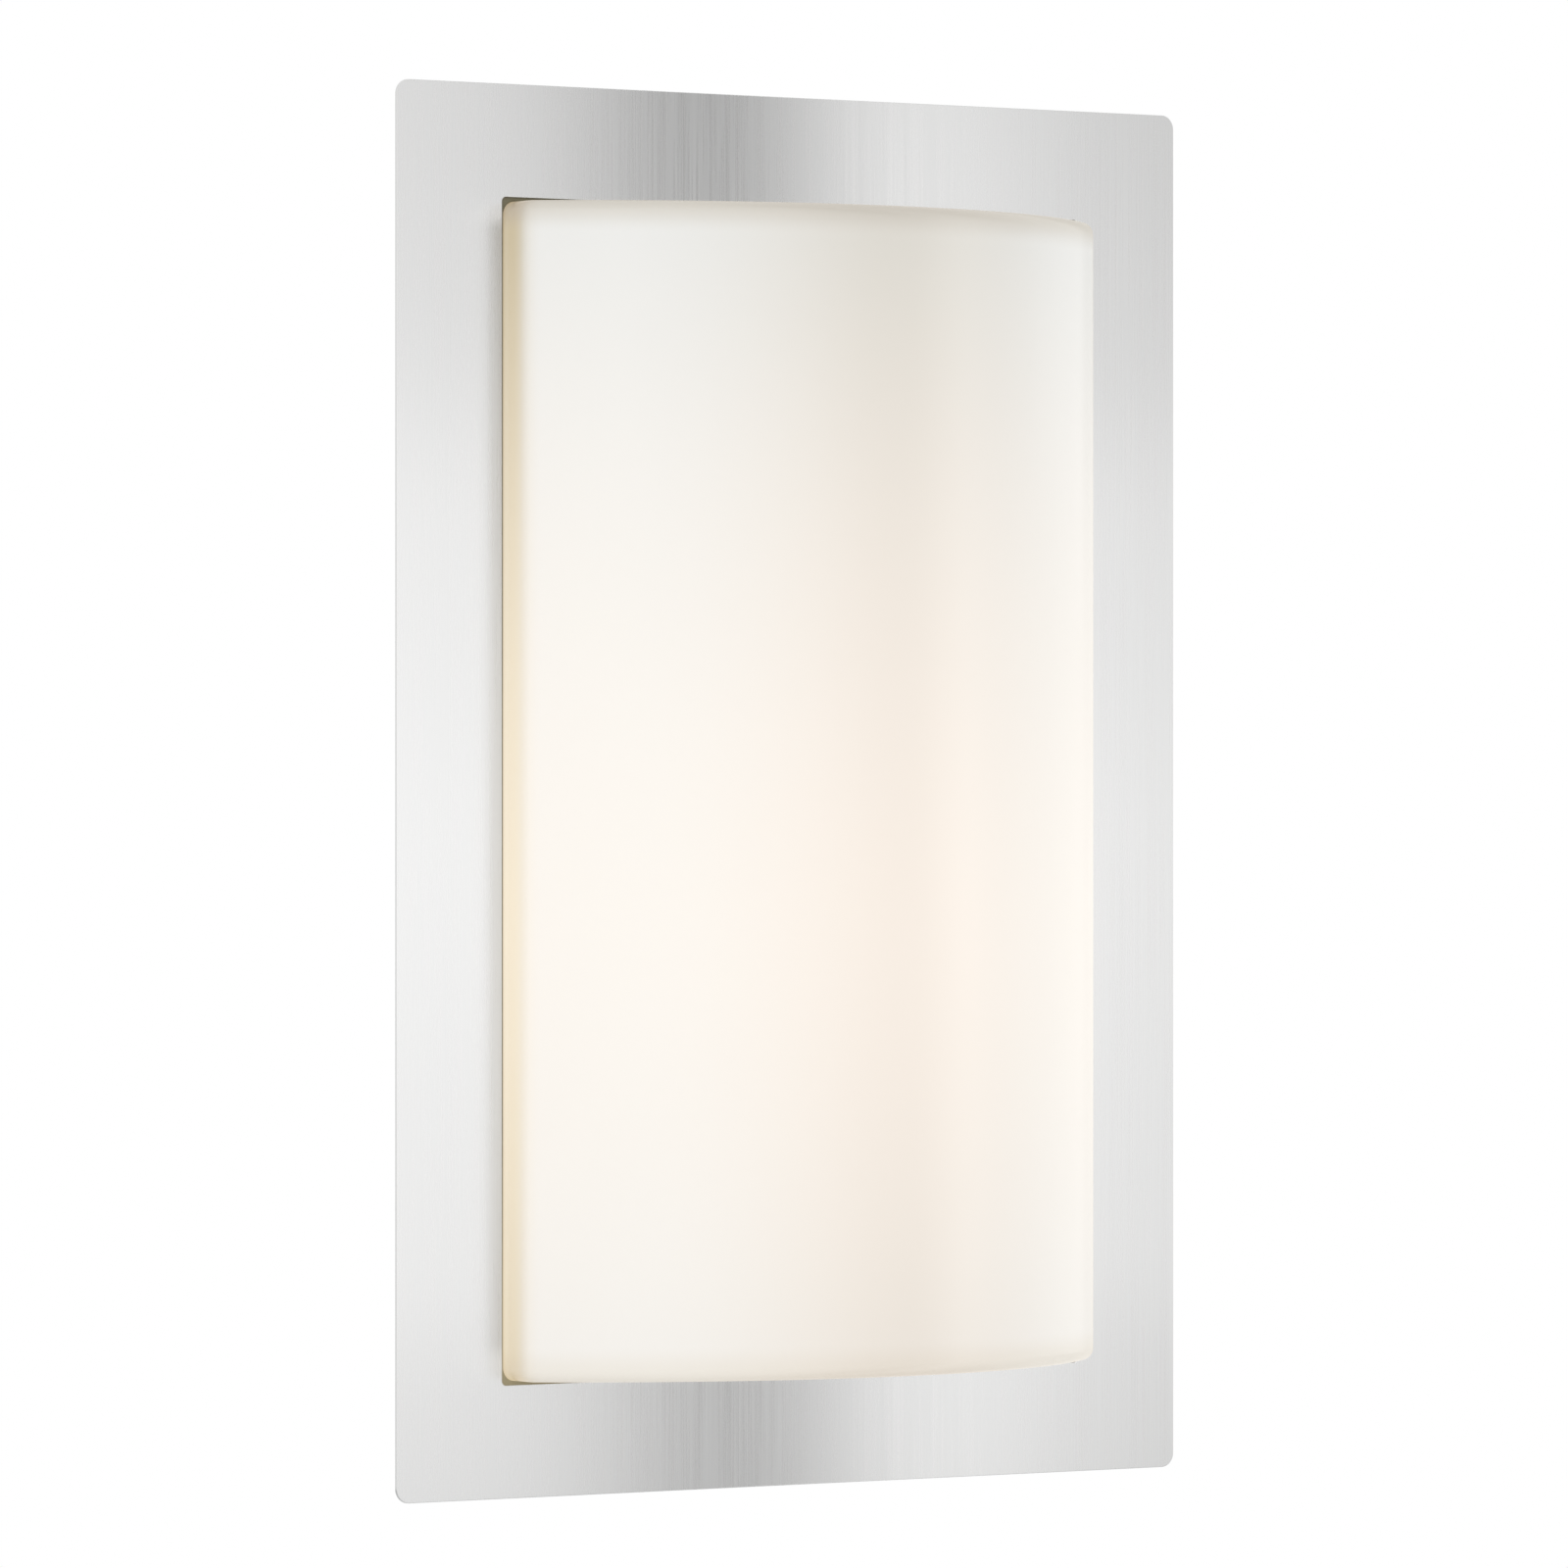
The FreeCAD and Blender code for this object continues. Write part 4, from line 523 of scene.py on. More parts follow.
class Tree:
    """Adds and joins the nodes of one material, group or world."""

    def __init__(self, tree: bpy.types.NodeTree) -> None:
        """Takes the tree to work in."""
        self.tree = tree

    def add(self, kind: str, **settings: object) -> bpy.types.Node:
        """Adds a node and sets its plain properties.

        Args:
            kind: The node's type, without the ShaderNode at its front.
            settings: Properties of the node.

        Returns:
            The node.
        """
        node = self.tree.nodes.new(kind if kind.startswith("Node") else "ShaderNode" + kind)
        for key, value in settings.items():
            setattr(node, key, value)
        return node

    def feed(self, socket: bpy.types.NodeSocket, value: object) -> None:
        """Sets or links one input.

        Args:
            socket: The input.
            value: A number, a colour, a vector or another node's output.
        """
        if isinstance(value, bpy.types.NodeSocket):
            self.tree.links.new(value, socket)
        elif isinstance(value, (tuple, list)) and socket.type == "RGBA" and len(value) == 3:
            socket.default_value = (*value, 1.0)
        else:
            socket.default_value = value

    def place(self) -> bpy.types.NodeSocket:
        """The point on the piece, in the piece's own coordinates."""
        return self.add("TexCoord").outputs["Object"]

    def axes(self) -> tuple[bpy.types.NodeSocket, ...]:
        """Splits the point on the piece.

        Returns:
            Its sockets across, in depth and up.
        """
        node = self.add("SeparateXYZ")
        self.feed(node.inputs[0], self.place())
        return node.outputs["X"], node.outputs["Y"], node.outputs["Z"]

    def math(self, operation: str, first: object, second: object = 0.0) -> bpy.types.NodeSocket:
        """Works on one or two values.

        Args:
            operation: Blender's name for the sum.
            first: The first value.
            second: The second value, where the sum has one.

        Returns:
            The result's socket.
        """
        node = self.add("Math", operation=operation)
        self.feed(node.inputs[0], first)
        self.feed(node.inputs[1], second)
        return node.outputs[0]

    def vector(self, operation: str, first: object, second: object) -> bpy.types.Node:
        """Works on two vectors.

        Args:
            operation: Blender's name for the sum.
            first: The first vector.
            second: The second vector.

        Returns:
            The node, whose outputs hold the result.
        """
        node = self.add("VectorMath", operation=operation)
        self.feed(node.inputs[0], first)
        self.feed(node.inputs[1], second)
        return node

    def eased(self, value: object, low: float, high: float) -> bpy.types.NodeSocket:
        """Turns a value into a share, eased at both ends.

        Args:
            value: What is turned into a share.
            low: Where the share is 0.
            high: Where it is 1.

        Returns:
            The share's socket.
        """
        node = self.add("MapRange", interpolation_type="SMOOTHSTEP")
        for key, item in zip(("Value", "From Min", "From Max"), (value, low, high)):
            self.feed(node.inputs[key], item)
        return node.outputs["Result"]

    def between(self, value: object, span: Pair, result: Pair = (0.0, 1.0)) -> bpy.types.NodeSocket:
        """Maps a value from one span to another, eased at both ends.

        Args:
            value: What is mapped.
            span: Where its span starts and ends.
            result: The result at the start and at the end.

        Returns:
            The result's socket.
        """
        node = self.add("MapRange", interpolation_type="SMOOTHERSTEP")
        for key, item in zip(("Value", "From Min", "From Max", "To Min", "To Max"),
                             (value, *span, *result)):
            self.feed(node.inputs[key], item)
        return node.outputs["Result"]

    def blend(
        self, factor: object, first: object, second: object, how: str = "MIX"
    ) -> bpy.types.NodeSocket:
        """Mixes two colours.

        Args:
            factor: The share of the second.
            first: The first colour.
            second: The second colour.
            how: Blender's name for the kind of mix.

        Returns:
            The colour's socket.
        """
        node = self.add("Mix", data_type="RGBA", blend_type=how, clamp_factor=True)
        self.feed(node.inputs["Factor"], factor)
        self.feed(node.inputs[6], first)
        self.feed(node.inputs[7], second)
        return node.outputs[2]

    def ramp(self, value: object, low: float, high: float, stops: Sequence[Pair]) -> bpy.types.NodeSocket:
        """Grades a value by grey stops.

        Args:
            value: What is graded.
            low: The value at the ramp's start.
            high: The value at its end.
            stops: Places along the ramp with their brightness.

        Returns:
            The ramp's colour socket.
        """
        share = self.add("MapRange")
        for key, item in zip(("Value", "From Min", "From Max"), (value, low, high)):
            self.feed(share.inputs[key], item)
        node = self.add("ValToRGB")
        node.color_ramp.interpolation = "EASE"
        points = node.color_ramp.elements
        while len(points) < len(stops):
            points.new(0.5)
        for point, (spot, grey) in zip(points, stops):
            point.position = spot
            point.color = (grey, grey, grey, 1.0)
        self.feed(node.inputs[0], share.outputs["Result"])
        return node.outputs["Color"]

    def noise(self, vector: object, scale: object, detail: float, rough: float) -> bpy.types.NodeSocket:
        """Adds cloudy noise.

        Args:
            vector: Where it is looked up.
            scale: How fine it is.
            detail: How many finer layers it has.
            rough: How strong those layers are.

        Returns:
            The noise's socket.
        """
        node = self.add("TexNoise")
        self.feed(node.inputs["Vector"], vector)
        self.feed(node.inputs["Scale"], scale)
        self.feed(node.inputs["Detail"], detail)
        self.feed(node.inputs["Roughness"], rough)
        return node.outputs["Fac"]


def new_group(name: str, inputs: dict[str, object], outputs: dict[str, str]) -> tuple[Tree, dict, dict]:
    """Starts a shader node group.

    Args:
        name: The group's name.
        inputs: Each input's name and default: a number, or three for a colour or a place.
        outputs: Each output's name and socket type.

    Returns:
        The tree, the sockets that carry the inputs, and the sockets to feed.
    """
    group = bpy.data.node_groups.new(name, "ShaderNodeTree")
    for label, value in inputs.items():
        kind = "NodeSocketFloat"
        if isinstance(value, tuple):
            kind = "NodeSocketColor" if len(value) == 4 else "NodeSocketVector"
        socket = group.interface.new_socket(name=label, in_out="INPUT", socket_type=kind)
        socket.default_value = value
    for label, kind in outputs.items():
        group.interface.new_socket(name=label, in_out="OUTPUT", socket_type=kind)
    tree = Tree(group)
    source = tree.add("NodeGroupInput")
    sink = tree.add("NodeGroupOutput")
    return (
        tree,
        {s.name: s for s in source.outputs if s.name},
        {s.name: s for s in sink.inputs if s.name},
    )


class Effects:
    """Surface effects that several finishes share, each a node group built once."""

    def __init__(self) -> None:
        """Builds every group."""
        self.grain = self._grain()
        self.mottle = self._mottle()
        self.peel = self._peel()
        self.worn = self._worn()
        self.glow = self._glow()

    @staticmethod
    def _grain() -> bpy.types.NodeTree:
        """Fine straight scratches that run one way. Scale sets their width and length.

        Returns:
            The group.
        """
        tree, given, out = new_group(
            "brushed_grain",
            {"Scale": (2600.0, 2600.0, 22.0), "Strength": 0.5},
            {"Value": "NodeSocketFloat", "Height": "NodeSocketFloat"},
        )
        place = tree.place()
        fine = tree.noise(tree.vector("MULTIPLY", place, given["Scale"]).outputs[0], 1.0, 3.0, 0.65)
        wide_scale = tree.vector("MULTIPLY", given["Scale"], (0.17, 0.17, 0.35)).outputs[0]
        wide = tree.noise(tree.vector("MULTIPLY", place, wide_scale).outputs[0], 1.0, 2.0, 0.5)
        both = tree.math("ADD", tree.math("MULTIPLY", fine, 0.68), tree.math("MULTIPLY", wide, 0.32))
        centred = tree.math("MULTIPLY", tree.math("SUBTRACT", both, 0.5), given["Strength"])
        tree.feed(out["Value"], tree.math("ADD", centred, 0.5))
        tree.feed(out["Height"], both)
        return tree.tree

    @staticmethod
    def _mottle() -> bpy.types.NodeTree:
        """Slow cloudy change over a surface, centred on one half.

        Returns:
            The group.
        """
        tree, given, out = new_group(
            "mottle", {"Scale": 30.0, "Strength": 0.2}, {"Value": "NodeSocketFloat"}
        )
        place = tree.place()
        cloud = tree.noise(place, given["Scale"], 3.0, 0.55)
        centred = tree.math("MULTIPLY", tree.math("SUBTRACT", cloud, 0.5), given["Strength"])
        tree.feed(out["Value"], tree.math("ADD", centred, 0.5))
        return tree.tree

    @staticmethod
    def _peel() -> bpy.types.NodeTree:
        """Fine rounded dimples, as on sprayed paint, moulded plastic and foam.

        Returns:
            The group.
        """
        tree, given, out = new_group(
            "peel", {"Scale": 1200.0, "Strength": 1.0},
            {"Height": "NodeSocketFloat", "Value": "NodeSocketFloat"},
        )
        place = tree.place()
        soft = tree.noise(place, given["Scale"], 1.0, 0.4)
        cells = tree.add("TexVoronoi", feature="SMOOTH_F1")
        tree.feed(cells.inputs["Vector"], place)
        tree.feed(cells.inputs["Scale"], tree.math("MULTIPLY", given["Scale"], 0.7))
        both = tree.math("ADD", tree.math("MULTIPLY", soft, 0.6),
                         tree.math("MULTIPLY", cells.outputs["Distance"], 0.4))
        tree.feed(out["Height"], tree.math("MULTIPLY", both, given["Strength"]))
        tree.feed(out["Value"], both)
        return tree.tree

    @staticmethod
    def _worn() -> bpy.types.NodeTree:
        """Handled places: a soft broken mask that is high near edges, and a softened normal.

        Returns:
            The group.
        """
        tree, given, out = new_group(
            "worn_edges", {"Break Up": 900.0, "Amount": 1.0},
            {"Mask": "NodeSocketFloat", "Normal": "NodeSocketVector"},
        )
        rounded = tree.add("Bevel", samples=4)
        rounded.inputs["Radius"].default_value = 0.35 * MM
        flat = tree.add("NewGeometry").outputs["Normal"]
        turn = tree.vector("DOT_PRODUCT", rounded.outputs["Normal"], flat).outputs["Value"]
        edge = tree.between(turn, (0.995, 0.86))
        place = tree.place()
        broken = tree.between(tree.noise(place, given["Break Up"], 3.0, 0.6), (0.42, 0.62))
        tree.feed(out["Mask"], tree.math("MULTIPLY", tree.math("MULTIPLY", edge, broken), given["Amount"]))
        tree.feed(out["Normal"], rounded.outputs["Normal"])
        return tree.tree

    @staticmethod
    def _glow() -> bpy.types.NodeTree:
        """Lamplight in the opal glass.

        It is brightest level with the lamp and fades up and down the shade. Away from the crown of
        the bow a cool painted sheen is added, which stands for the studio's light and reflections on
        the glass's flanks. The side walls are warm and dim: light through the glass the long way,
        with painted shade matched along the walls and a painted line of light where they meet the
        plate. The rounded top and foot carry extra painted shade.

        Returns:
            The group.
        """
        tree, given, out = new_group(
            "painted_lamplight",
            {
                "Lamp Height": -0.035,
                "Reach": 0.183,
                "Near": (0.515, 0.43, 0.35, 1.0),
                "Far": (0.303, 0.273, 0.218, 1.0),
                "Near Painted Sheen": (0.018, 0.055, 0.076, 1.0),
                "Far Painted Sheen": (0.090, 0.114, 0.147, 1.0),
                "Near Wall": (0.545, 0.44, 0.272, 1.0),
                "Far Wall": (0.25, 0.163, 0.01, 1.0),
                "Gap Painted Light": (0.12, 0.125, 0.135, 1.0),
                "Top Edge Painted Shade": (0.66, 0.58, 0.45, 1.0),
                "Foot Edge Painted Shade": (0.91, 0.87, 0.79, 1.0),
            },
            {"Colour": "NodeSocketColor"},
        )
        fall_off = 1.7
        crown_span = (4 * MM, 74 * MM)
        gap_light_span = (-42.5 * MM, -39.5 * MM)
        wall_depths = (-52.5 * MM, -43.5 * MM)
        wall_span = (91.0 * MM, 95.0 * MM)
        top_shade_span = (149.5 * MM, 157.5 * MM)
        foot_shade_span = (-148.5 * MM, -156.0 * MM)
        across, depth, up = tree.axes()
        away = tree.math("ABSOLUTE", tree.math("SUBTRACT", up, given["Lamp Height"]))
        away = tree.math("MINIMUM", tree.math("DIVIDE", away, given["Reach"]), 1.0)
        away = tree.math("POWER", away, fall_off)
        across = tree.math("ABSOLUTE", across)
        # Painted sheen: a cool lift away from the crown stands for the studio's light and reflections.
        crown = tree.eased(across, *crown_span)
        front = tree.blend(away, given["Near"], given["Far"])
        painted_sheen = tree.blend(away, given["Near Painted Sheen"], given["Far Painted Sheen"])
        front = tree.blend(crown, front, tree.blend(1.0, front, painted_sheen, "ADD"))
        # The side walls: light through the glass the long way, with painted shade, and painted light at the
        # plate.
        wall = tree.blend(away, given["Near Wall"], given["Far Wall"])
        wall = tree.blend(tree.eased(depth, *gap_light_span), wall,
                          tree.blend(1.0, wall, given["Gap Painted Light"], "ADD"))
        beside = tree.math("MULTIPLY", tree.eased(depth, *wall_depths), tree.eased(across, *wall_span))
        lit = tree.blend(beside, front, wall)
        # Painted shade on the rounded top and foot.
        top = tree.eased(up, *top_shade_span)
        foot = tree.eased(up, *foot_shade_span)
        lit = tree.blend(1.0, lit, tree.blend(top, WHITE, given["Top Edge Painted Shade"]), "MULTIPLY")
        lit = tree.blend(1.0, lit, tree.blend(foot, WHITE, given["Foot Edge Painted Shade"]), "MULTIPLY")
        tree.feed(out["Colour"], lit)
        return tree.tree


EFFECTS = Effects()


class Surface(Tree):
    """The node tree of one material, with its Principled shader."""

    def __init__(self, name: str) -> None:
        """Makes the material and finds its shader.

        Args:
            name: The material's name.
        """
        self.material = bpy.data.materials.new(name)
        self.material.use_nodes = True
        super().__init__(self.material.node_tree)
        self.shader = next(n for n in self.tree.nodes if n.type == "BSDF_PRINCIPLED")

    def set(self, **values: object) -> None:
        """Sets or links inputs of the shader.

        Args:
            values: Input names with _ for each space.
        """
        for key, value in values.items():
            self.feed(self.shader.inputs[key.replace("_", " ").title().replace("Ior", "IOR")], value)

    def effect(self, group: bpy.types.NodeTree, **values: object) -> bpy.types.Node:
        """Places a shared effect with this material's own values.

        Args:
            group: The effect's node group.
            values: Input names with _ for each space.

        Returns:
            The group node.
        """
        node = self.add("Group", node_tree=group)
        for key, value in values.items():
            self.feed(node.inputs[key.replace("_", " ").title()], value)
        return node

    def cloud(self, scale: float, strength: float = 1.0) -> bpy.types.NodeSocket:
        """Slow cloudy change, centred on one half.

        Args:
            scale: How fine the clouds are.
            strength: How far they stray from one half.

        Returns:
            The value's socket.
        """
        return self.effect(EFFECTS.mottle, scale=scale, strength=strength).outputs["Value"]

    def bump(self, height: object, distance: float, strength: float = 1.0, normal: object = None) -> None:
        """Feeds a height to the shader's normal through a Bump node.

        Args:
            height: The height's socket.
            distance: How deep a height of one is, in metres.
            strength: How much of it shows.
            normal: A normal that the bump starts from.
        """
        node = self.add("Bump")
        self.feed(node.inputs["Height"], height)
        self.feed(node.inputs["Distance"], distance)
        self.feed(node.inputs["Strength"], strength)
        if normal is not None:
            self.feed(node.inputs["Normal"], normal)
        self.feed(self.shader.inputs["Normal"], node.outputs["Normal"])


def tinted(colour: Colour, share: float) -> Colour:
    """A colour made lighter or darker by a share of itself."""
    return tuple(min(1.0, c * share) for c in colour)


def spread(middle: float, shares: Pair) -> Pair:
    """The least and the most of a value, from their shares of its middle."""
    return tuple(min(1.0, middle * share) for share in shares)


# ------------------------------------------------------------------ finishes


class Finish(Protocol):
    """A finish: a name and a way to build its material."""

    name: str

    def material(self) -> bpy.types.Material:
        """Builds the material."""


@cache
def made(finish: Finish) -> bpy.types.Material:
    """A finish's material, built once and shared by every piece that has it."""
    return finish.material()


class Grain(Enum):
    """How the scratches of a metal run: upright, or no way in particular."""

    UPRIGHT = (2300.0, 2300.0, 16.0)
    NONE = (500.0, 500.0, 500.0)


@dataclass(frozen=True)
class Metal:
    """A bare or plated metal with a faint grain and slow cloudy change.

    Its polish is the roughness where it is smoothest and dullest, as shares of its own.
    """

    name: str
    colour: Colour
    roughness: float
    grain: Grain = Grain.NONE
    grain_depth: float = 0.004 * MM
    grain_strength: float = 0.6
    contrast: float = 0.12
    cloud_scale: float = 26.0
    cloud_share: float = 0.10
    cloud_tint: float = 0.8
    wear: float = 0.5
    polish: Pair = (0.82, 1.2)

    def material(self) -> bpy.types.Material:
        """Builds the material.

        Returns:
            The material.
        """
        surface = Surface(self.name)
        grain = surface.effect(EFFECTS.grain, scale=self.grain.value, strength=1.0)
        cloud = surface.between(surface.cloud(self.cloud_scale), (0.1, 0.9), (0.0, self.cloud_share))
        worn = surface.effect(EFFECTS.worn, amount=self.wear)
        low, high = tinted(self.colour, 1 - self.contrast), tinted(self.colour, 1 + self.contrast)
        shade = surface.blend(grain.outputs["Value"], low, high)
        shade = surface.blend(cloud, shade, tinted(self.colour, self.cloud_tint))
        rough = surface.between(grain.outputs["Value"], (0.15, 0.85), spread(self.roughness, self.polish))
        surface.set(base_color=shade, metallic=1.0, roughness=rough)
        surface.bump(grain.outputs["Height"], self.grain_depth, self.grain_strength,
                     worn.outputs["Normal"])
        return surface.material


@dataclass(frozen=True)
class BrushedPlate:
    """Satin stainless sheet with a fine upright grain that spreads its reflections sideways."""

    name: str = "brushed_stainless"
    colour: Colour = (0.72, 0.72, 0.716)
    roughness: float = 0.28
    sideways: float = 0.6
    grain_depth: float = 0.0022 * MM
    grain_strength: float = 0.5
    grain_tints: Pair = (0.93, 1.06)
    cloud_scale: float = 9.0
    cloud_share: float = 0.05
    cloud_tint: float = 0.85
    polish: Pair = (0.85, 1.2)

    def material(self) -> bpy.types.Material:
        """Builds the material.

        Returns:
            The material.
        """
        surface = Surface(self.name)
        grain = surface.effect(EFFECTS.grain, scale=Grain.UPRIGHT.value, strength=1.0)
        cloud = surface.between(surface.cloud(self.cloud_scale), MOST, (0.0, self.cloud_share))
        low, high = (tinted(self.colour, share) for share in self.grain_tints)
        shade = surface.blend(grain.outputs["Value"], low, high)
        shade = surface.blend(cloud, shade, tinted(self.colour, self.cloud_tint))
        rough = surface.between(grain.outputs["Value"], MOST, spread(self.roughness, self.polish))
        surface.set(base_color=shade, metallic=1.0, roughness=rough, anisotropic=self.sideways)
        tangent = surface.add("Tangent", direction_type="RADIAL", axis="Z")
        surface.feed(surface.shader.inputs["Tangent"], tangent.outputs["Tangent"])
        surface.bump(grain.outputs["Height"], self.grain_depth, self.grain_strength)
        return surface.material


@dataclass(frozen=True)
class Opal:
    """Glossy opal white glass that carries the lamp's light.

    In mirror rays its glow is painted greyer, a painted reflection that puts a soft shade on the
    brushed plate beside the glass, and towards the top and the foot it fades to a plain painted grey.
    """

    name: str = "opal_glass"
    colour: Colour = (0.42, 0.42, 0.415)
    roughness: float = 0.2
    polish: Pair = (0.85, 1.2)
    bending: float = 1.5
    cloud_scale: float = 14.0
    cloud_share: float = 0.5
    cloud_tint: float = 0.97
    ripple: float = 0.04 * MM
    ripple_strength: float = 0.25
    painted_mirror_share: float = 0.7
    painted_mirror_gain: float = 1.06
    painted_mirror_ends: Colour = (0.62, 0.62, 0.62)
    painted_fade_middle: float = 1.2 * MM
    painted_fade_from: float = 149.3 * MM
    painted_fade_to: float = 154.3 * MM

    def material(self) -> bpy.types.Material:
        """Builds the material.

        Returns:
            The material.
        """
        surface = Surface(self.name)
        glow = surface.effect(EFFECTS.glow)
        cloud = surface.cloud(self.cloud_scale)
        shade = surface.blend(surface.between(cloud, (0.25, 0.75), (0.0, self.cloud_share)), self.colour,
                              tinted(self.colour, self.cloud_tint))
        # Painted reflection: mirror rays see a grey copy of the glow that fades to plain grey at the top and
        # foot.
        grey = surface.add("RGBToBW")
        surface.feed(grey.inputs[0], glow.outputs["Colour"])
        up = surface.axes()[2]
        reach = surface.math("ABSOLUTE", surface.math("SUBTRACT", up, self.painted_fade_middle))
        ends = surface.eased(reach, self.painted_fade_from, self.painted_fade_to)
        painted_mirror = surface.math("MULTIPLY", grey.outputs[0], self.painted_mirror_gain)
        painted_mirror = surface.blend(ends, painted_mirror, self.painted_mirror_ends)
        glossy = surface.add("LightPath").outputs["Is Glossy Ray"]
        painted_mirror_mix = surface.math("MULTIPLY", glossy, self.painted_mirror_share)
        surface.set(
            base_color=shade,
            roughness=surface.between(cloud, MOST, spread(self.roughness, self.polish)),
            ior=self.bending,
            emission_color=surface.blend(painted_mirror_mix, glow.outputs["Colour"], painted_mirror),
            emission_strength=1.0,
        )
        surface.bump(cloud, self.ripple, self.ripple_strength)
        return surface.material


@dataclass(frozen=True)
class Coat:
    """Paint, rubber, glaze or moulded plastic: one colour with peel, cloud and worn edges.

    A piece beside the lit glass may carry a little painted light towards its foot, which stands for the
    glass's light falling on it.
    """

    name: str
    colour: Colour
    roughness: float
    polish: Pair = (0.9, 1.12)
    peel_scale: float = 1500.0
    peel_depth: float = 0.012 * MM
    peel_strength: float = 0.8
    peel_share: float = 0.35
    peel_contrast: float = 1.5
    cloud_scale: float = 22.0
    edge: Optional[Colour] = None
    edge_tint: float = 1.12
    wear: float = 0.7
    contrast: float = 0.05
    coat: float = 0.0
    coat_roughness: float = 0.05
    painted_lamplight: Optional[Colour] = None
    painted_light_from: float = -90 * MM
    painted_light_to: float = -150 * MM

    def material(self) -> bpy.types.Material:
        """Builds the material.

        Returns:
            The material.
        """
        surface = Surface(self.name)
        peel = surface.effect(EFFECTS.peel, scale=self.peel_scale, strength=1.0)
        cloud = surface.cloud(self.cloud_scale)
        worn = surface.effect(EFFECTS.worn, amount=self.wear)
        low, high = tinted(self.colour, 1 - self.contrast), tinted(self.colour, 1 + self.contrast)
        shade = surface.blend(cloud, low, high)
        dimples = surface.between(peel.outputs["Value"], (0.3, 0.7), (0.0, self.peel_share))
        shade = surface.blend(dimples, shade, tinted(self.colour, 1 - self.contrast * self.peel_contrast))
        edge = self.edge or tinted(self.colour, self.edge_tint)
        shade = surface.blend(worn.outputs["Mask"], shade, edge)
        rough = surface.between(cloud, MOST, spread(self.roughness, self.polish))
        surface.set(base_color=shade, roughness=rough)
        if self.coat:
            surface.set(coat_weight=self.coat, coat_roughness=self.coat_roughness)
        # Painted light: an emission that grows towards the foot stands for the lit glass shining on the
        # piece.
        if self.painted_lamplight:
            lit = surface.eased(surface.axes()[2], self.painted_light_from, self.painted_light_to)
            surface.set(emission_color=surface.blend(lit, BLACK, self.painted_lamplight), emission_strength=1.0)
        surface.bump(peel.outputs["Height"], self.peel_depth, self.peel_strength, worn.outputs["Normal"])
        return surface.material


@dataclass(frozen=True)
class StripedWire:
    """Green wire insulation with a yellow stripe along the side that faces out."""

    name: str = "wire_green_yellow"
    green: Colour = (0.03, 0.26, 0.05)
    yellow: Colour = (0.86, 0.66, 0.04)
    depth: float = 8.7 * MM
    stripe: float = 0.75 * MM
    stripe_blur: float = 0.06 * MM
    roughness: Pair = (0.38, 0.5)
    peel_scale: float = 1800.0
    peel_depth: float = 0.01 * MM
    peel_strength: float = 0.6
    peel_share: float = 0.2
    peel_shadow: float = 0.25

    def material(self) -> bpy.types.Material:
        """Builds the material.

        Returns:
            The material.
        """
        surface = Surface(self.name)
        out = surface.math("SUBTRACT", surface.math("MULTIPLY", surface.axes()[1], -1.0), self.depth)
        striped = surface.eased(out, self.stripe - self.stripe_blur, self.stripe + self.stripe_blur)
        peel = surface.effect(EFFECTS.peel, scale=self.peel_scale, strength=1.0)
        shade = surface.blend(striped, self.green, self.yellow)
        dimples = surface.between(peel.outputs["Value"], MOST, (0.0, self.peel_share))
        shade = surface.blend(dimples, shade, surface.blend(self.peel_shadow, shade, BLACK))
        rough = surface.between(peel.outputs["Value"], MOST, self.roughness)
        surface.set(base_color=shade, roughness=rough)
        surface.bump(peel.outputs["Height"], self.peel_depth, self.peel_strength)
        return surface.material


@dataclass(frozen=True)
class LitGlobe:
    """White satin lamp glass, brightest round its middle and dimmer towards the neck."""

    name: str = "bulb_opal"
    colour: Colour = (0.80, 0.79, 0.76)
    glow: Colour = (1.0, 0.93, 0.80)
    glow_middle: float = 0.62
    glow_neck: float = 0.16
    middle: float = LAYOUT.lamp_middle
    neck: float = 20 * MM
    roughness: Pair = (0.24, 0.36)
    cloud_scale: float = 60.0
    cloud_tint: float = 0.94
    ripple: float = 0.03 * MM
    ripple_strength: float = 0.3

    def material(self) -> bpy.types.Material:
        """Builds the material.

        Returns:
            The material.
        """
        surface = Surface(self.name)
        up = surface.eased(surface.axes()[2], self.middle, self.neck)
        cloud = surface.cloud(self.cloud_scale)
        surface.set(
            base_color=surface.blend(cloud, self.colour, tinted(self.colour, self.cloud_tint)),
            roughness=surface.between(cloud, MOST, self.roughness),
            emission_color=surface.blend(up, tinted(self.glow, self.glow_middle),
                                         tinted(self.glow, self.glow_neck)),
            emission_strength=1.0,
        )
        surface.bump(cloud, self.ripple, self.ripple_strength)
        return surface.material


# ------------------------------------------------------------------ finishes in use


WHITE_PAINT = Coat("white_paint", (0.82, 0.82, 0.80), 0.42, peel_scale=1100.0, peel_depth=0.02 * MM)
BRUSHED_STEEL = BrushedPlate()
OPAL_GLASS = Opal()
PLAIN_STEEL = Metal("plain_stainless", (0.62, 0.61, 0.60), 0.30, Grain.UPRIGHT, contrast=0.10)
SCREW_STEEL = Metal("screw_steel", (0.60, 0.60, 0.59), 0.24, contrast=0.08)
ZINC = Metal("zinc_plate", (0.66, 0.68, 0.72), 0.34, contrast=0.16)
BRASS = Metal("terminal_brass", (0.80, 0.58, 0.27), 0.26, contrast=0.10)
SHELL_BRASS = Metal("shell_brass", (0.82, 0.61, 0.30), 0.24, contrast=0.10)
TINNED = Metal("contact_metal", (0.74, 0.70, 0.60), 0.28, contrast=0.12)
TINNED_COPPER = Metal("tinned_copper", (0.76, 0.74, 0.70), 0.30, contrast=0.12)
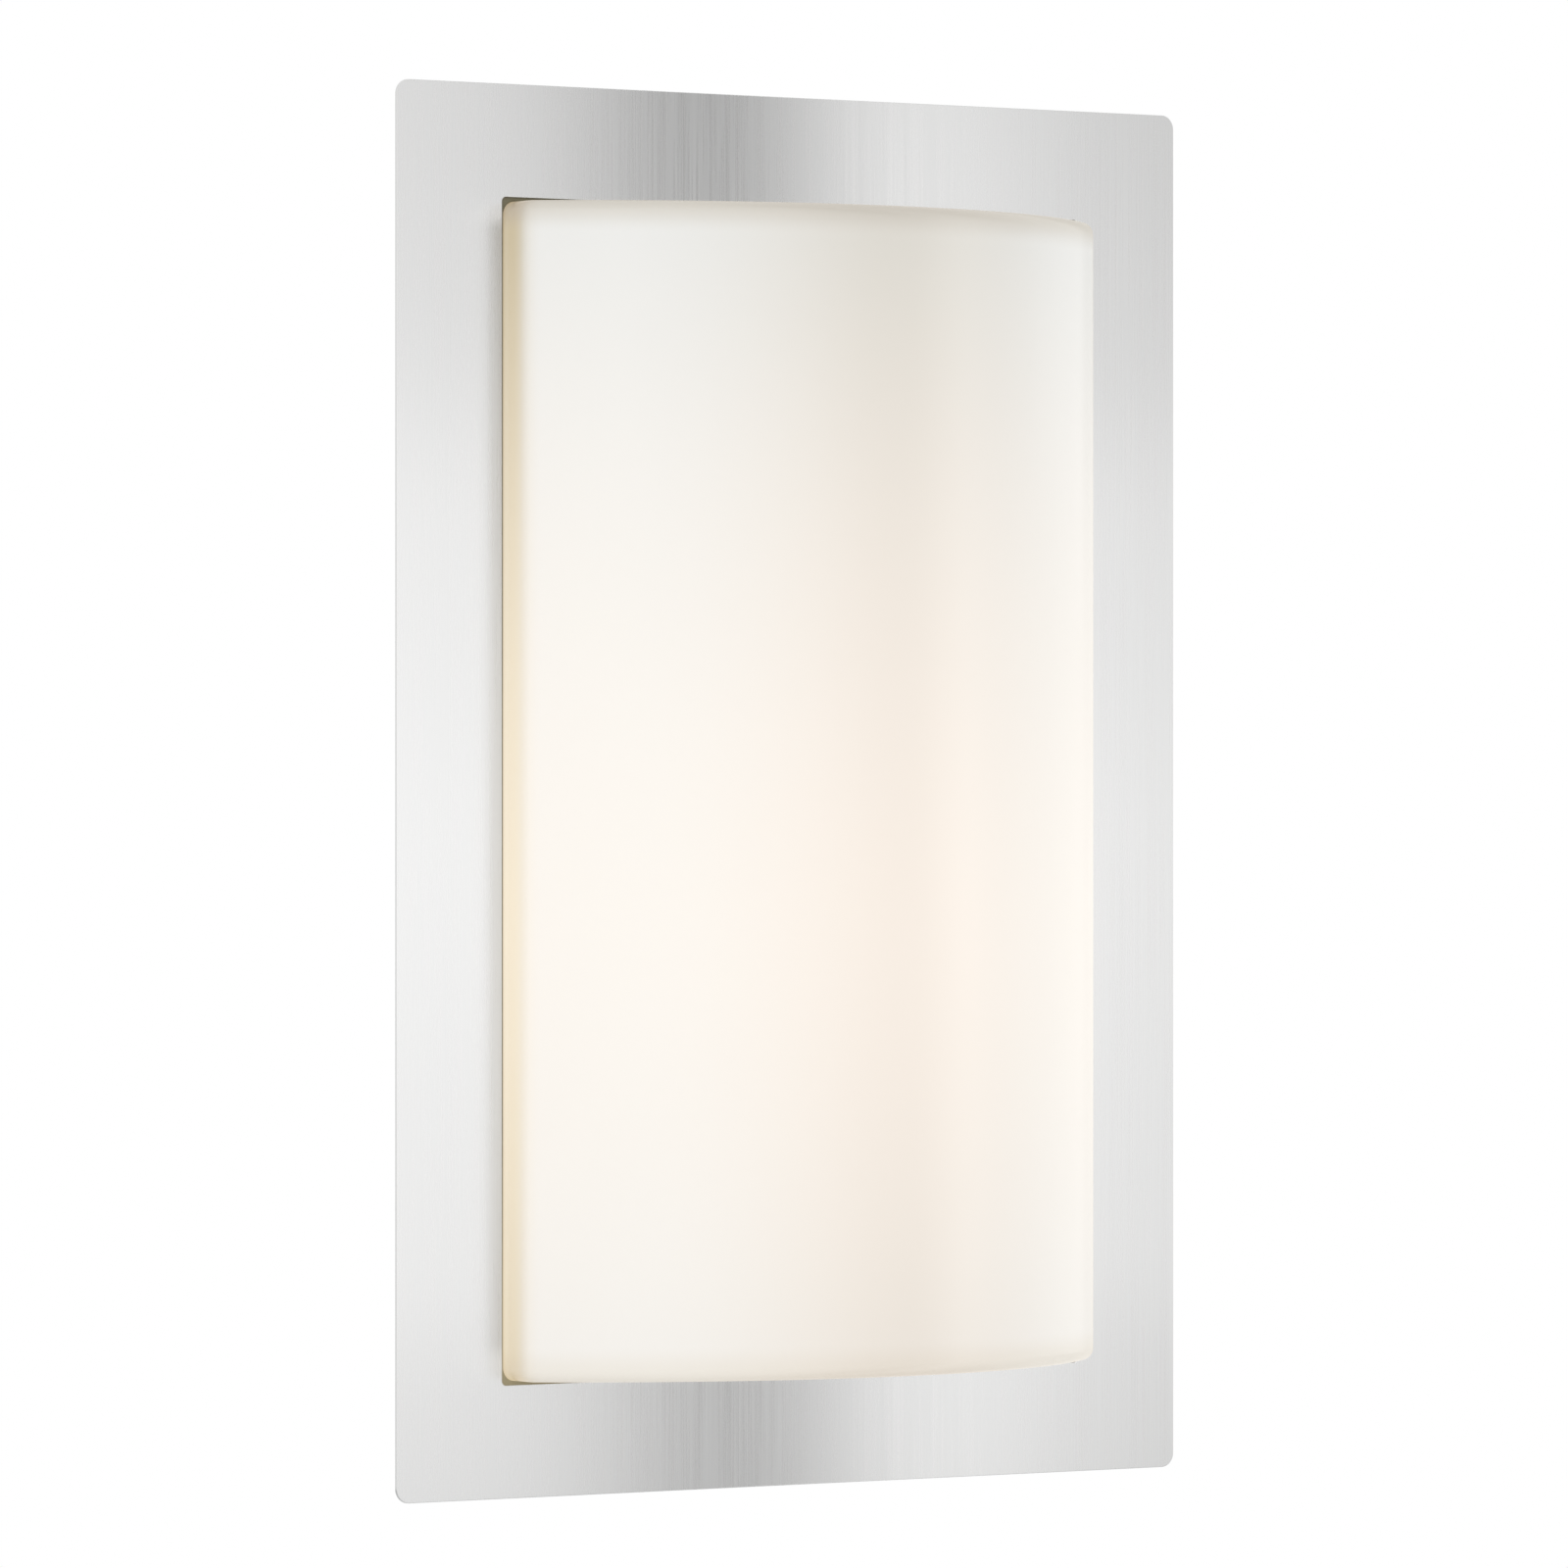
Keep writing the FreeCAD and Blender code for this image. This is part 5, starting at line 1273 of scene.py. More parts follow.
CAP_METAL = Metal("cap_metal", (0.78, 0.78, 0.76), 0.26, contrast=0.08)
PORCELAIN = Coat("porcelain", (0.84, 0.83, 0.79), 0.22, peel_scale=240.0, peel_depth=0.02 * MM, coat=0.6)
POLYAMIDE = Coat("polyamide", (0.78, 0.78, 0.73), 0.48, peel_scale=2400.0, peel_depth=0.008 * MM)
BROWN = Coat("wire_brown", (0.13, 0.05, 0.025), 0.42, peel_scale=1800.0, peel_depth=0.008 * MM)
BLUE = Coat("wire_blue", (0.03, 0.12, 0.46), 0.42, peel_scale=1800.0, peel_depth=0.008 * MM)
GREEN_YELLOW = StripedWire()
LAMP_OPAL = LitGlobe()
BLACK_GLASS = Coat("cap_insulator", (0.012, 0.012, 0.014), 0.12, peel_scale=300.0, peel_depth=0.02 * MM,
                   edge=(0.03, 0.03, 0.035), coat=0.5)
BLACK_RUBBER = Coat("black_rubber", (0.022, 0.022, 0.023), 0.62, peel_scale=2600.0, peel_depth=0.012 * MM,
                    edge=(0.05, 0.05, 0.05), contrast=0.2)
# The seal's dark olive tone is dark silicone with painted shade of the narrow gap beside the glass; painted
# light glows at its foot.
DARK_SILICONE = Coat("dark_silicone", (0.155, 0.140, 0.088), 0.60, peel_scale=2200.0, peel_depth=0.01 * MM,
                     edge=(0.11, 0.105, 0.09), contrast=0.12, painted_lamplight=(0.15, 0.12, 0.07))
FOAM = Coat("foam", (0.055, 0.055, 0.056), 0.92, peel_scale=900.0, peel_depth=0.16 * MM,
            edge=(0.09, 0.09, 0.09), contrast=0.35)


# ------------------------------------------------------------------ front frame


@dataclass
class FacePlate:
    """The sheet steel frame: rounded corners, a cut-out with small corners, softened edges."""

    width: float = 263 * MM
    height: float = 380 * MM
    front: float = LAYOUT.plate_front
    back: float = LAYOUT.plate_back
    corner: float = 4 * MM
    opening_width: float = 194.9 * MM
    opening_height: float = 319.2 * MM
    opening_corner: float = 1.3 * MM
    edge_round: float = 0.22 * MM
    finish: BrushedPlate = BRUSHED_STEEL

    def _sheet(
        self, name: str, wide: float, high: float, corner: float, extra: float = 0.0
    ) -> bpy.types.Object:
        """A flat block with rounded upright corners.

        Args:
            name: The mesh's name.
            wide: Its width.
            high: Its height.
            corner: Its corner radius.
            extra: How far it reaches past the sheet on each side.

        Returns:
            The object, in object mode.
        """
        piece = block(
            name,
            (-wide / 2, -self.front - extra, -high / 2),
            (wide / 2, -self.back + extra, high / 2),
        )
        pick(piece, Part.EDGE, lambda middle, way: abs(way.y) > 0.9)
        bpy.ops.mesh.bevel(offset=corner, segments=10, affect="EDGES", clamp_overlap=False)
        tidy_mesh()
        only(piece)
        return piece

    def build(self) -> bpy.types.Object:
        """Makes the plate and ties it to the front frame.

        Returns:
            The plate.
        """
        plate = self._sheet("face_plate_sheet", self.width, self.height, self.corner)
        hole = self._sheet("opening", self.opening_width, self.opening_height, self.opening_corner, 2 * MM)
        combined(plate, hole, "DIFFERENCE")
        modified(plate, "BEVEL", width=self.edge_round, segments=3, limit_method="ANGLE",
                 angle_limit=math.radians(50), use_clamp_overlap=True)
        closed(plate, smooth_below=50)
        modified(plate, "WEIGHTED_NORMAL", mode="FACE_AREA", weight=100, keep_sharp=True)
        return placed(plate, "front_frame", made(self.finish), "face_plate")


@dataclass
class GlassShade:
    """The opal glass: a box open at the back whose front bows about an upright axis."""

    half_width: float = LAYOUT.glass_half_width
    half_height: float = LAYOUT.glass_half_height
    front: float = 86.6 * MM
    side_front: float = 49 * MM
    edge_round: float = 3.5 * MM
    wall: float = 3.2 * MM
    rim_front: float = LAYOUT.rim_front
    rim_back: float = 33 * MM
    rim_reach: float = LAYOUT.rim_reach
    rim_corner: float = LAYOUT.rim_corner
    rim_softness: float = 0.9 * MM
    rim_lip: float = 0.3 * MM
    lap: float = 1.2 * MM
    skin_weld: float = 0.02 * MM
    corner_steps: int = 10
    bow_steps: int = 96
    finish: Opal = OPAL_GLASS

    @property
    def bow_radius(self) -> float:
        """The front's radius, from its rise over the width."""
        rise = self.front - self.side_front
        return (self.half_width**2 + rise**2) / (2 * rise)

    @property
    def wall_back(self) -> float:
        """Where the walls end, inside the rim's thickness."""
        return self.rim_back + self.lap

    def _outline(self) -> bpy.types.Object:
        """The shade's outline from above, from one back corner round the bow to the other.

        Returns:
            A chain of edges at the shade's top, in edit mode.
        """
        centre = self.bow_radius - self.front
        half_turn = math.degrees(math.asin((self.half_width - self.edge_round)
                                           / (self.bow_radius - self.edge_round)))
        corner_y = centre - math.cos(math.radians(half_turn)) * (self.bow_radius - self.edge_round)
        corner_turn = 90.0 - half_turn
        shell = chain("opal_shade", (-self.half_width, -self.wall_back, self.half_height))
        drawn((0.0, corner_y + self.wall_back, 0.0))
        spun((-self.half_width + self.edge_round, corner_y, 0.0), corner_turn, self.corner_steps)
        spun((0.0, centre, 0.0), 2 * half_turn, self.bow_steps)
        spun((self.half_width - self.edge_round, corner_y, 0.0), corner_turn, self.corner_steps)
        drawn((0.0, -self.wall_back - corner_y, 0.0))
        return shell

    def _rim(self) -> bpy.types.Object:
        """The flat rim behind the plate, its outer edges fire-polished round.

        Returns:
            The ring, in object mode.
        """
        reach, soft = self.rim_reach, self.rim_softness
        inside = -reach - self.wall - self.rim_lip
        profile = [(inside, self.rim_back), (inside, self.rim_front)]
        profile += rounded_corner((0.0, self.rim_front), Way.IN, Way.WALL, soft)
        profile += rounded_corner((0.0, self.rim_back), Way.FRONT, Way.IN, soft)
        return ringed("shade_rim", profile, self.half_width + reach, self.half_height + reach,
                      self.rim_corner)

    def build(self) -> bpy.types.Object:
        """Makes the shade and ties it to the front frame.

        Returns:
            The shade.
        """
        shell = self._outline()
        pick_all(Part.EDGE)
        drawn((0.0, 0.0, -2 * self.half_height))
        for level in (-self.half_height, self.half_height):
            pick(shell, Part.EDGE, lambda middle, way: abs(middle.z - level) < SAME and abs(way.z) < 0.5)
            bpy.ops.mesh.edge_face_add()
        tidy_mesh()
        pick(
            shell,
            Part.EDGE,
            lambda middle, way: abs(abs(middle.z) - self.half_height) < SAME
            and not (abs(middle.y + self.wall_back) < SAME),
        )
        # A hair under the side corners' radius, so that the two roundings meet in no sliver.
        hair_under = 0.998
        bpy.ops.mesh.bevel(offset=self.edge_round * hair_under, segments=self.corner_steps,
                           affect="EDGES", clamp_overlap=False)
        tidy_mesh(self.skin_weld)
        modified(shell, "SOLIDIFY", thickness=self.wall, offset=-1.0, use_even_offset=True,
                 use_quality_normals=True, use_rim=True)
        combined(shell, self._rim(), "UNION")
        closed(shell, smooth_below=40)
        return placed(shell, "front_frame", made(self.finish), "glass_shade")


@dataclass
class ShadeSeal:
    """The soft flat ring between the glass rim and the plate."""

    half_width: float = LAYOUT.glass_half_width
    half_height: float = LAYOUT.glass_half_height
    reach: float = LAYOUT.rim_reach
    corner: float = LAYOUT.rim_corner
    front: float = LAYOUT.plate_back
    back: float = LAYOUT.rim_front
    softness: float = 0.6 * MM
    finish: Coat = DARK_SILICONE

    def build(self) -> bpy.types.Object:
        """Makes the ring and ties it to the front frame.

        Returns:
            The ring.
        """
        inner = -self.reach
        soft = self.softness
        profile = rounded_corner((inner, self.back), Way.OUT, Way.FRONT, soft)
        profile += rounded_corner((inner, self.front), Way.WALL, Way.OUT, soft)
        profile += rounded_corner((0.0, self.front), Way.IN, Way.WALL, soft)
        profile += rounded_corner((0.0, self.back), Way.FRONT, Way.IN, soft)
        ring = ringed("shade_seal_ring", profile, self.half_width + self.reach,
                      self.half_height + self.reach, self.corner)
        closed(ring, smooth_below=50)
        return placed(ring, "front_frame", made(self.finish), "shade_gasket")


@dataclass
class ShadeFixings:
    """The clips, studs and nuts that hold the glass rim, and the hooks and lug of the frame."""

    rim_half_width: float = LAYOUT.glass_half_width + LAYOUT.rim_reach
    rim_half_height: float = LAYOUT.glass_half_height + LAYOUT.rim_reach
    side_spacing: float = 180 * MM
    end_spacing: float = 100 * MM
    stud_offset: float = 4.7 * MM
    stud_radius: float = 1.5 * MM
    stud_length: float = 4.6 * MM
    thread_depth: float = 0.3 * MM
    pitch: float = 0.5 * MM
    plate_back: float = LAYOUT.plate_back
    finish: Metal = PLAIN_STEEL

    def build(self) -> None:
        """Dresses the CAD pieces and winds the thread of each stud."""
        steel = made(self.finish)
        dress_cad(steel, "shade_clips", "clip_nuts", "frame_hooks", "latch_lug")
        tip = self.plate_back - self.stud_length
        rod = threaded("clip_stud", (0.0, 0.0, 0.0), (tip, self.plate_back),
                       self.stud_radius - self.thread_depth, self.stud_radius, self.pitch,
                       Axis.OUT, steps=18)
        closed(rod, smooth_below=30)
        side = self.rim_half_width + self.stud_offset
        end = self.rim_half_height + self.stud_offset
        spots = [(x * side, z * self.side_spacing / 2) for x in (1, -1) for z in (1, -1)]
        spots += [(x * self.end_spacing / 2, z * end) for z in (1, -1) for x in (1, -1)]
        for number, (across, up) in enumerate(spots, start=1):
            stud = copied(rod, f"clip_stud_{number}", (across, 0.0, up))
            placed(stud, "front_frame", steel, "clip_studs")
        bpy.data.objects.remove(rod)


# ------------------------------------------------------------------ wall pan


@dataclass
class WallPan:
    """The painted pan with its brackets, its seals and the grommet in its floor."""

    foam_width: float = 192 * MM
    foam_height: float = 316 * MM
    foam_band: float = 8 * MM
    foam_depth: float = 2 * MM
    foam_corner: float = 10 * MM
    foam_softness: float = 0.5 * MM
    foam_swell: float = 0.25 * MM
    rim_width: float = 226 * MM
    rim_height: float = 350 * MM
    rim_corner: float = 16 * MM
    rim_front: float = 34.5 * MM
    rim_sheet: float = 1.2 * MM
    seal_front: float = 38.2 * MM
    seal_back: float = 31.5 * MM
    seal_cheek: float = 2 * MM
    seal_nose: float = 1.45 * MM
    seal_heel: float = 0.45 * MM
    groove_low: float = 2.6 * MM
    groove_half: float = 0.3 * MM
    groove_depth: float = 0.25 * MM
    grommet_height: float = 136 * MM
    grommet_bore: float = 4.6 * MM
    grommet_neck: float = 8 * MM
    grommet_flange: float = 10.5 * MM
    grommet_sheet: float = 1.4 * MM
    grommet_taper: float = 0.7 * MM
    bore_round: float = 0.4 * MM
    back_round: float = 0.5 * MM
    front_round: float = 0.6 * MM
    floor_back: float = LAYOUT.floor_back
    floor_front: float = LAYOUT.floor_front
    paint: Coat = WHITE_PAINT
    plating: Metal = ZINC
    rubber: Coat = BLACK_RUBBER
    foam: Coat = FOAM

    def _foam(self) -> bpy.types.Object:
        """The foam ring against the wall, its free sides swelling a little.

        Returns:
            The ring, in object mode.
        """
        band, deep, soft, swell = self.foam_band, self.foam_depth, self.foam_softness, self.foam_swell
        profile = rounded_corner((-band + swell, 0.0), Way.OUT, Way.FRONT, soft, steps=3)
        profile += [(-band, deep / 2)]
        profile += rounded_corner((-band + swell, deep), Way.WALL, Way.OUT, soft, steps=3)
        profile += rounded_corner((-swell, deep), Way.IN, Way.WALL, soft, steps=3)
        profile += [(0.0, deep / 2)]
        profile += rounded_corner((-swell, 0.0), Way.FRONT, Way.IN, soft, steps=3)
        ring = ringed("foam_ring", profile, self.foam_width / 2, self.foam_height / 2,
                      self.foam_corner, steps=8)
        return closed(ring, smooth_below=60)

    def _rim_seal(self) -> bpy.types.Object:
        """The rubber channel on the pan's front edge, with a round nose and a groove in each side.

        Returns:
            The ring, in object mode.
        """
        cheek, sheet = self.seal_cheek, self.rim_sheet
        inner = -sheet - cheek
        nose, heel = self.seal_nose, self.seal_heel
        back, front = self.seal_back, self.seal_front
        low = back + self.groove_low
        middle, high = low + self.groove_half, low + 2 * self.groove_half
        profile = rounded_corner((inner, back), Way.OUT, Way.FRONT, heel, steps=3)
        profile += [(inner, low), (inner + self.groove_depth, middle), (inner, high)]
        profile += rounded_corner((inner, front), Way.WALL, Way.OUT, nose, steps=6)
        profile += rounded_corner((cheek, front), Way.IN, Way.WALL, nose, steps=6)
        profile += [(cheek, high), (cheek - self.groove_depth, middle), (cheek, low)]
        profile += rounded_corner((cheek, back), Way.FRONT, Way.IN, heel, steps=3)
        profile += [(0.0, back), (0.0, self.rim_front), (-sheet, self.rim_front), (-sheet, back)]
        ring = ringed("rim_seal_channel", profile, self.rim_width / 2, self.rim_height / 2,
                      self.rim_corner, steps=12)
        return closed(ring, smooth_below=40)

    def _grommet(self) -> bpy.types.Object:
        """The rubber grommet: two soft flanges with a neck between them in the floor's hole.

        Returns:
            The grommet, in object mode.
        """
        bore, neck, flange = self.grommet_bore, self.grommet_neck, self.grommet_flange
        back, front = self.floor_back - self.grommet_sheet, self.floor_front + self.grommet_sheet
        profile = rounded_corner((bore, back), Way.FRONT, Way.OUT, self.bore_round)
        profile += rounded_corner((flange, back), Way.IN, Way.FRONT, self.back_round)
        profile += [(flange, self.floor_back), (neck, self.floor_back), (neck, self.floor_front),
                    (flange, self.floor_front)]
        profile += rounded_corner((flange - self.grommet_taper, front), Way.WALL, Way.IN,
                                  self.front_round)
        profile += rounded_corner((bore, front), Way.OUT, Way.WALL, self.bore_round)
        profile.append(profile[0])
        ring = turned("entry_grommet", (0.0, 0.0, self.grommet_height), profile, Axis.OUT, steps=48)
        return closed(ring, smooth_below=45)

    def build(self) -> None:
        """Dresses the pan and ties its soft pieces to the wall side."""
        dress_cad(made(self.paint), "wall_pan", "hinge_brackets", "lock_block")
        dress_cad(made(self.plating), "hinge_pins")
        placed(self._foam(), "wall_side", made(self.foam), "wall_gasket")
        placed(self._rim_seal(), "wall_side", made(self.rubber), "rim_seal")
        placed(self._grommet(), "wall_side", made(self.rubber), "cable_grommet")


@dataclass
class Lock:
    """The socket screw and the washer that hold the foot of the frame."""

    axis_depth: float = 26.5 * MM
    head_top: float = -183.7 * MM
    head_height: float = 2.6 * MM
    head_radius: float = 3.9 * MM
    head_land: float = 0.5 * MM
    crown_share: float = 0.58
    crown_steps: int = 6
    shank_radius: float = 2.0 * MM
    length: float = 12 * MM
    pitch: float = 0.7 * MM
    thread_depth: float = 0.4 * MM
    thread_lap: float = 0.3 * MM
    socket_flats: float = 2.5 * MM
    socket_depth: float = 1.5 * MM
    finish: Metal = SCREW_STEEL

    def build(self) -> None:
        """Makes the screw, ties it to its body and dresses the washer."""
        steel = made(self.finish)
        dress_cad(steel, "locking_washer")
        low = self.head_top - self.head_height
        centre = (0.0, -self.axis_depth, 0.0)
        flat = self.head_radius * self.crown_share
        land = self.head_top - self.head_land
        dome = [(0.0, low)]
        for step in range(self.crown_steps + 1):
            turn = math.radians(90.0 * step / self.crown_steps)
            dome.append((flat + (self.head_radius - flat) * math.sin(turn),
                         land - (self.head_height - self.head_land) * math.cos(turn)))
        dome += [(self.head_radius, self.head_top), (0.0, self.head_top)]
        screw = turned("locking_screw_steel", centre, dome, steps=48)
        bpy.ops.mesh.primitive_cylinder_add(
            vertices=6, radius=self.socket_flats / math.sqrt(3), depth=2 * self.socket_depth,
            location=(0.0, -self.axis_depth, low),
        )
        socket = started("socket")
        combined(screw, only(socket), "DIFFERENCE")
        span = (self.head_top - self.thread_lap, self.head_top + self.length)
        thread = threaded("thread", centre, span, self.shank_radius - self.thread_depth,
                          self.shank_radius, self.pitch, steps=28)
        combined(screw, thread, "UNION")
        closed(screw, smooth_below=32)
        placed(screw, "locking_screw", steel, "locking_screw")


# ------------------------------------------------------------------ lamp and lampholder


@dataclass
class Lampholder:
    """The porcelain lampholder with its screw shell, contact, bracket, terminals and screws."""

    depth: float = LAYOUT.lamp_depth
    shell_low: float = 25 * MM
    shell_length: float = 21 * MM
    shell_inner: float = 13.4 * MM
    shell_outer: float = 13.9 * MM
    lip: float = 0.12 * MM
    groove_inset: float = 0.8 * MM
    groove_root: float = -0.6 * MM
    groove_depth: float = 0.36 * MM
    pitch: float = LAYOUT.lamp_pitch
    body: Coat = PORCELAIN
    shell: Metal = SHELL_BRASS
    plating: Metal = ZINC
    contact: Metal = TINNED
    brass: Metal = BRASS

    def _shell(self) -> bpy.types.Object:
        """The rolled screw shell, its thread pressed in from the inside.

        Returns:
            The shell, in object mode.
        """
        low, high = self.shell_low, self.shell_low + self.shell_length
        centre = (0.0, -self.depth, 0.0)
        inner, outer, lip = self.shell_inner, self.shell_outer, self.lip
        outline = [(inner + lip, low), (outer, low), (outer, high), (inner + lip, high), (inner, high - lip),
                   (inner, low + lip), (inner + lip, low)]
        ring = turned("screw_shell", centre, outline, steps=72)
        grooves = threaded("grooves", centre, (low + self.groove_inset, high - self.groove_inset),
                           inner + self.groove_root, inner + self.groove_depth, self.pitch, steps=56)
        combined(ring, grooves, "DIFFERENCE")
        return closed(ring, smooth_below=34)

    def build(self) -> None:
        """Dresses the CAD pieces and ties the screw shell to the wall side."""
        dress_cad(made(self.body), "lampholder_body")
        dress_cad(made(self.contact), "lampholder_contact")
        dress_cad(made(self.plating), "lampholder_bracket", "lampholder_screws", "bracket_screws",
                  "lead_screws")
        dress_cad(made(self.brass), "lampholder_terminals")
        placed(self._shell(), "wall_side", made(self.shell), "lampholder_shell")


@dataclass
class Lamp:
    """The lit lamp: a satin globe, a rolled screw cap, black glass and the centre contact."""

    depth: float = LAYOUT.lamp_depth
    globe_middle: float = LAYOUT.lamp_middle
    globe_radius: float = 30 * MM
    globe_steps: int = 36
    flare_steps: int = 12
    neck_radius: float = 13.3 * MM
    globe_wall: float = 1.0 * MM
    cap_base: float = 21 * MM
    cap_radius: float = 13.15 * MM
    cap_root: float = 12.1 * MM
    collar_radius: float = 13.9 * MM
    collar: float = 2.4 * MM
    cap_tip: float = 43 * MM
    shoulder: float = 1.5 * MM
    edge: float = 0.3 * MM
    collar_slope: float = 0.8 * MM
    waist_slope: float = 0.5 * MM
    nose_in: float = 0.9 * MM
    nose_down: float = 0.35 * MM
    tip_in: float = 1.6 * MM
    thread_start: float = 0.7 * MM
    thread_end: float = 0.3 * MM
    thread_lap: float = 0.05 * MM
    pitch: float = LAYOUT.lamp_pitch
    glass: LitGlobe = LAMP_OPAL
    metal: Metal = CAP_METAL
    insulator: Coat = BLACK_GLASS
    contact: Metal = TINNED

    def _globe(self) -> bpy.types.Object:
        """The globe, which runs by a tangent curve into its neck.

        Returns:
            The globe, in object mode.
        """
        globe, neck = self.globe_radius, self.neck_radius
        rise = self.cap_base - self.globe_middle
        flare = (globe**2 - neck**2 - rise**2) / (2 * (neck - globe))
        meet = math.atan2(rise, neck + flare)
        quarter = math.pi / 2
        outline = []
        for wall in (0.0, self.globe_wall):
            run = []
            radius = globe - wall
            for step in range(self.globe_steps + 1):
                turn = -quarter + (meet + quarter) * step / self.globe_steps
                run.append((max(0.0, radius * math.cos(turn)), self.globe_middle + radius * math.sin(turn)))
            radius = flare + wall
            for step in range(1, self.flare_steps + 1):
                turn = math.pi + meet * (1 - step / self.flare_steps)
                run.append((neck + flare + radius * math.cos(turn), self.cap_base + radius * math.sin(turn)))
            outline += run if wall == 0.0 else run[::-1]
        outline[0] = (0.0, outline[0][1])
        outline[-1] = (0.0, outline[-1][1])
        return closed(turned("lamp_globe", (0.0, -self.depth, 0.0), outline, steps=80), smooth_below=40)

    def _cap(self) -> bpy.types.Object:
        """The screw cap: a collar, a neck, the rolled thread and a sloping shoulder.

        Returns:
            The cap, in object mode.
        """
        centre = (0.0, -self.depth, 0.0)
        base, top = self.cap_base, self.cap_tip
        root, rim = self.cap_root, self.collar_radius
        waist = base + self.collar
        outline = [(0.0, base), (rim - self.edge, base), (rim, base + self.edge),
                   (rim, waist - self.collar_slope), (root + self.waist_slope, waist),
                   (root, waist + self.waist_slope), (root, top - self.shoulder),
                   (root - self.nose_in, top - self.nose_down), (root - self.tip_in, top), (0.0, top)]
        cap = turned("lamp_cap", centre, outline, steps=72)
        span = (waist + self.thread_start, top - self.shoulder - self.thread_end)
        thread = threaded("cap_thread", centre, span, root - self.thread_lap, self.cap_radius,
                          self.pitch, steps=56)
        combined(cap, thread, "UNION")
        return closed(cap, smooth_below=34)

    def build(self) -> None:
        """Ties the lamp's pieces to the lamp's body."""
        dress_cad(made(self.insulator), "bulb_insulator")
        dress_cad(made(self.contact), "bulb_contact")
        placed(self._globe(), "bulb", made(self.glass), "bulb_glass")
        placed(self._cap(), "bulb", made(self.metal), "bulb_cap")


# ------------------------------------------------------------------ supply terminals and wires


@dataclass
class Supply:
    """The terminal block, its screws, the leads, and the earth point on its stud."""

    stud_across: float = 44 * MM
    stud_height: float = 108 * MM
    stud_radius: float = 2.0 * MM
    stud_length: float = 11 * MM
    thread_depth: float = 0.4 * MM
    floor_front: float = LAYOUT.floor_front
    pitch: float = 0.7 * MM
    moulding: Coat = POLYAMIDE
    plating: Metal = ZINC
    brass: Metal = BRASS
    ring: Metal = TINNED_COPPER
    brown: Coat = BROWN
    blue: Coat = BLUE
    striped: StripedWire = GREEN_YELLOW

    def build(self) -> None:
        """Dresses the CAD pieces and winds the stud's thread."""
        dress_cad(made(self.moulding), "terminal_block")
        dress_cad(made(self.plating), "block_screws", "terminal_screws")
        dress_cad(made(self.brass), "earth_nuts")
        dress_cad(made(self.ring), "earth_terminal")
        dress_cad(made(self.brown), "live_lead")
        dress_cad(made(self.blue), "neutral_lead")
        dress_cad(made(self.striped), "earth_wire")
        start = self.floor_front
        rod = threaded("earth_stud_thread", (self.stud_across, 0.0, self.stud_height),
                       (start, start + self.stud_length), self.stud_radius - self.thread_depth,
                       self.stud_radius, self.pitch, Axis.OUT, steps=24)
        closed(rod, smooth_below=32)
        placed(rod, "wall_side", made(self.brass), "earth_stud")


# ------------------------------------------------------------------ studio


PLATE_MIDDLE = (0.0, -LAYOUT.plate_front, 0.0)


@dataclass(frozen=True)
class SoftLamp:
    """One soft area lamp, in metres and watts."""

    name: str
    spot: Place
    aim: Place
    width: float
    height: float
    power: float

    def build(self) -> None:
        """Hangs the lamp, turned to the point that it faces and left out of reflections."""
        data = bpy.data.lights.new(self.name, "AREA")
        data.shape = "RECTANGLE"
        data.size = self.width
        data.size_y = self.height
        data.energy = self.power
        item = bpy.data.objects.new(self.name, data)
        item.location = self.spot
        item.rotation_euler = (Vector(self.aim) - Vector(self.spot)).to_track_quat("-Z", "Y").to_euler()
        item.visible_glossy = False
        bpy.context.scene.collection.objects.link(item)


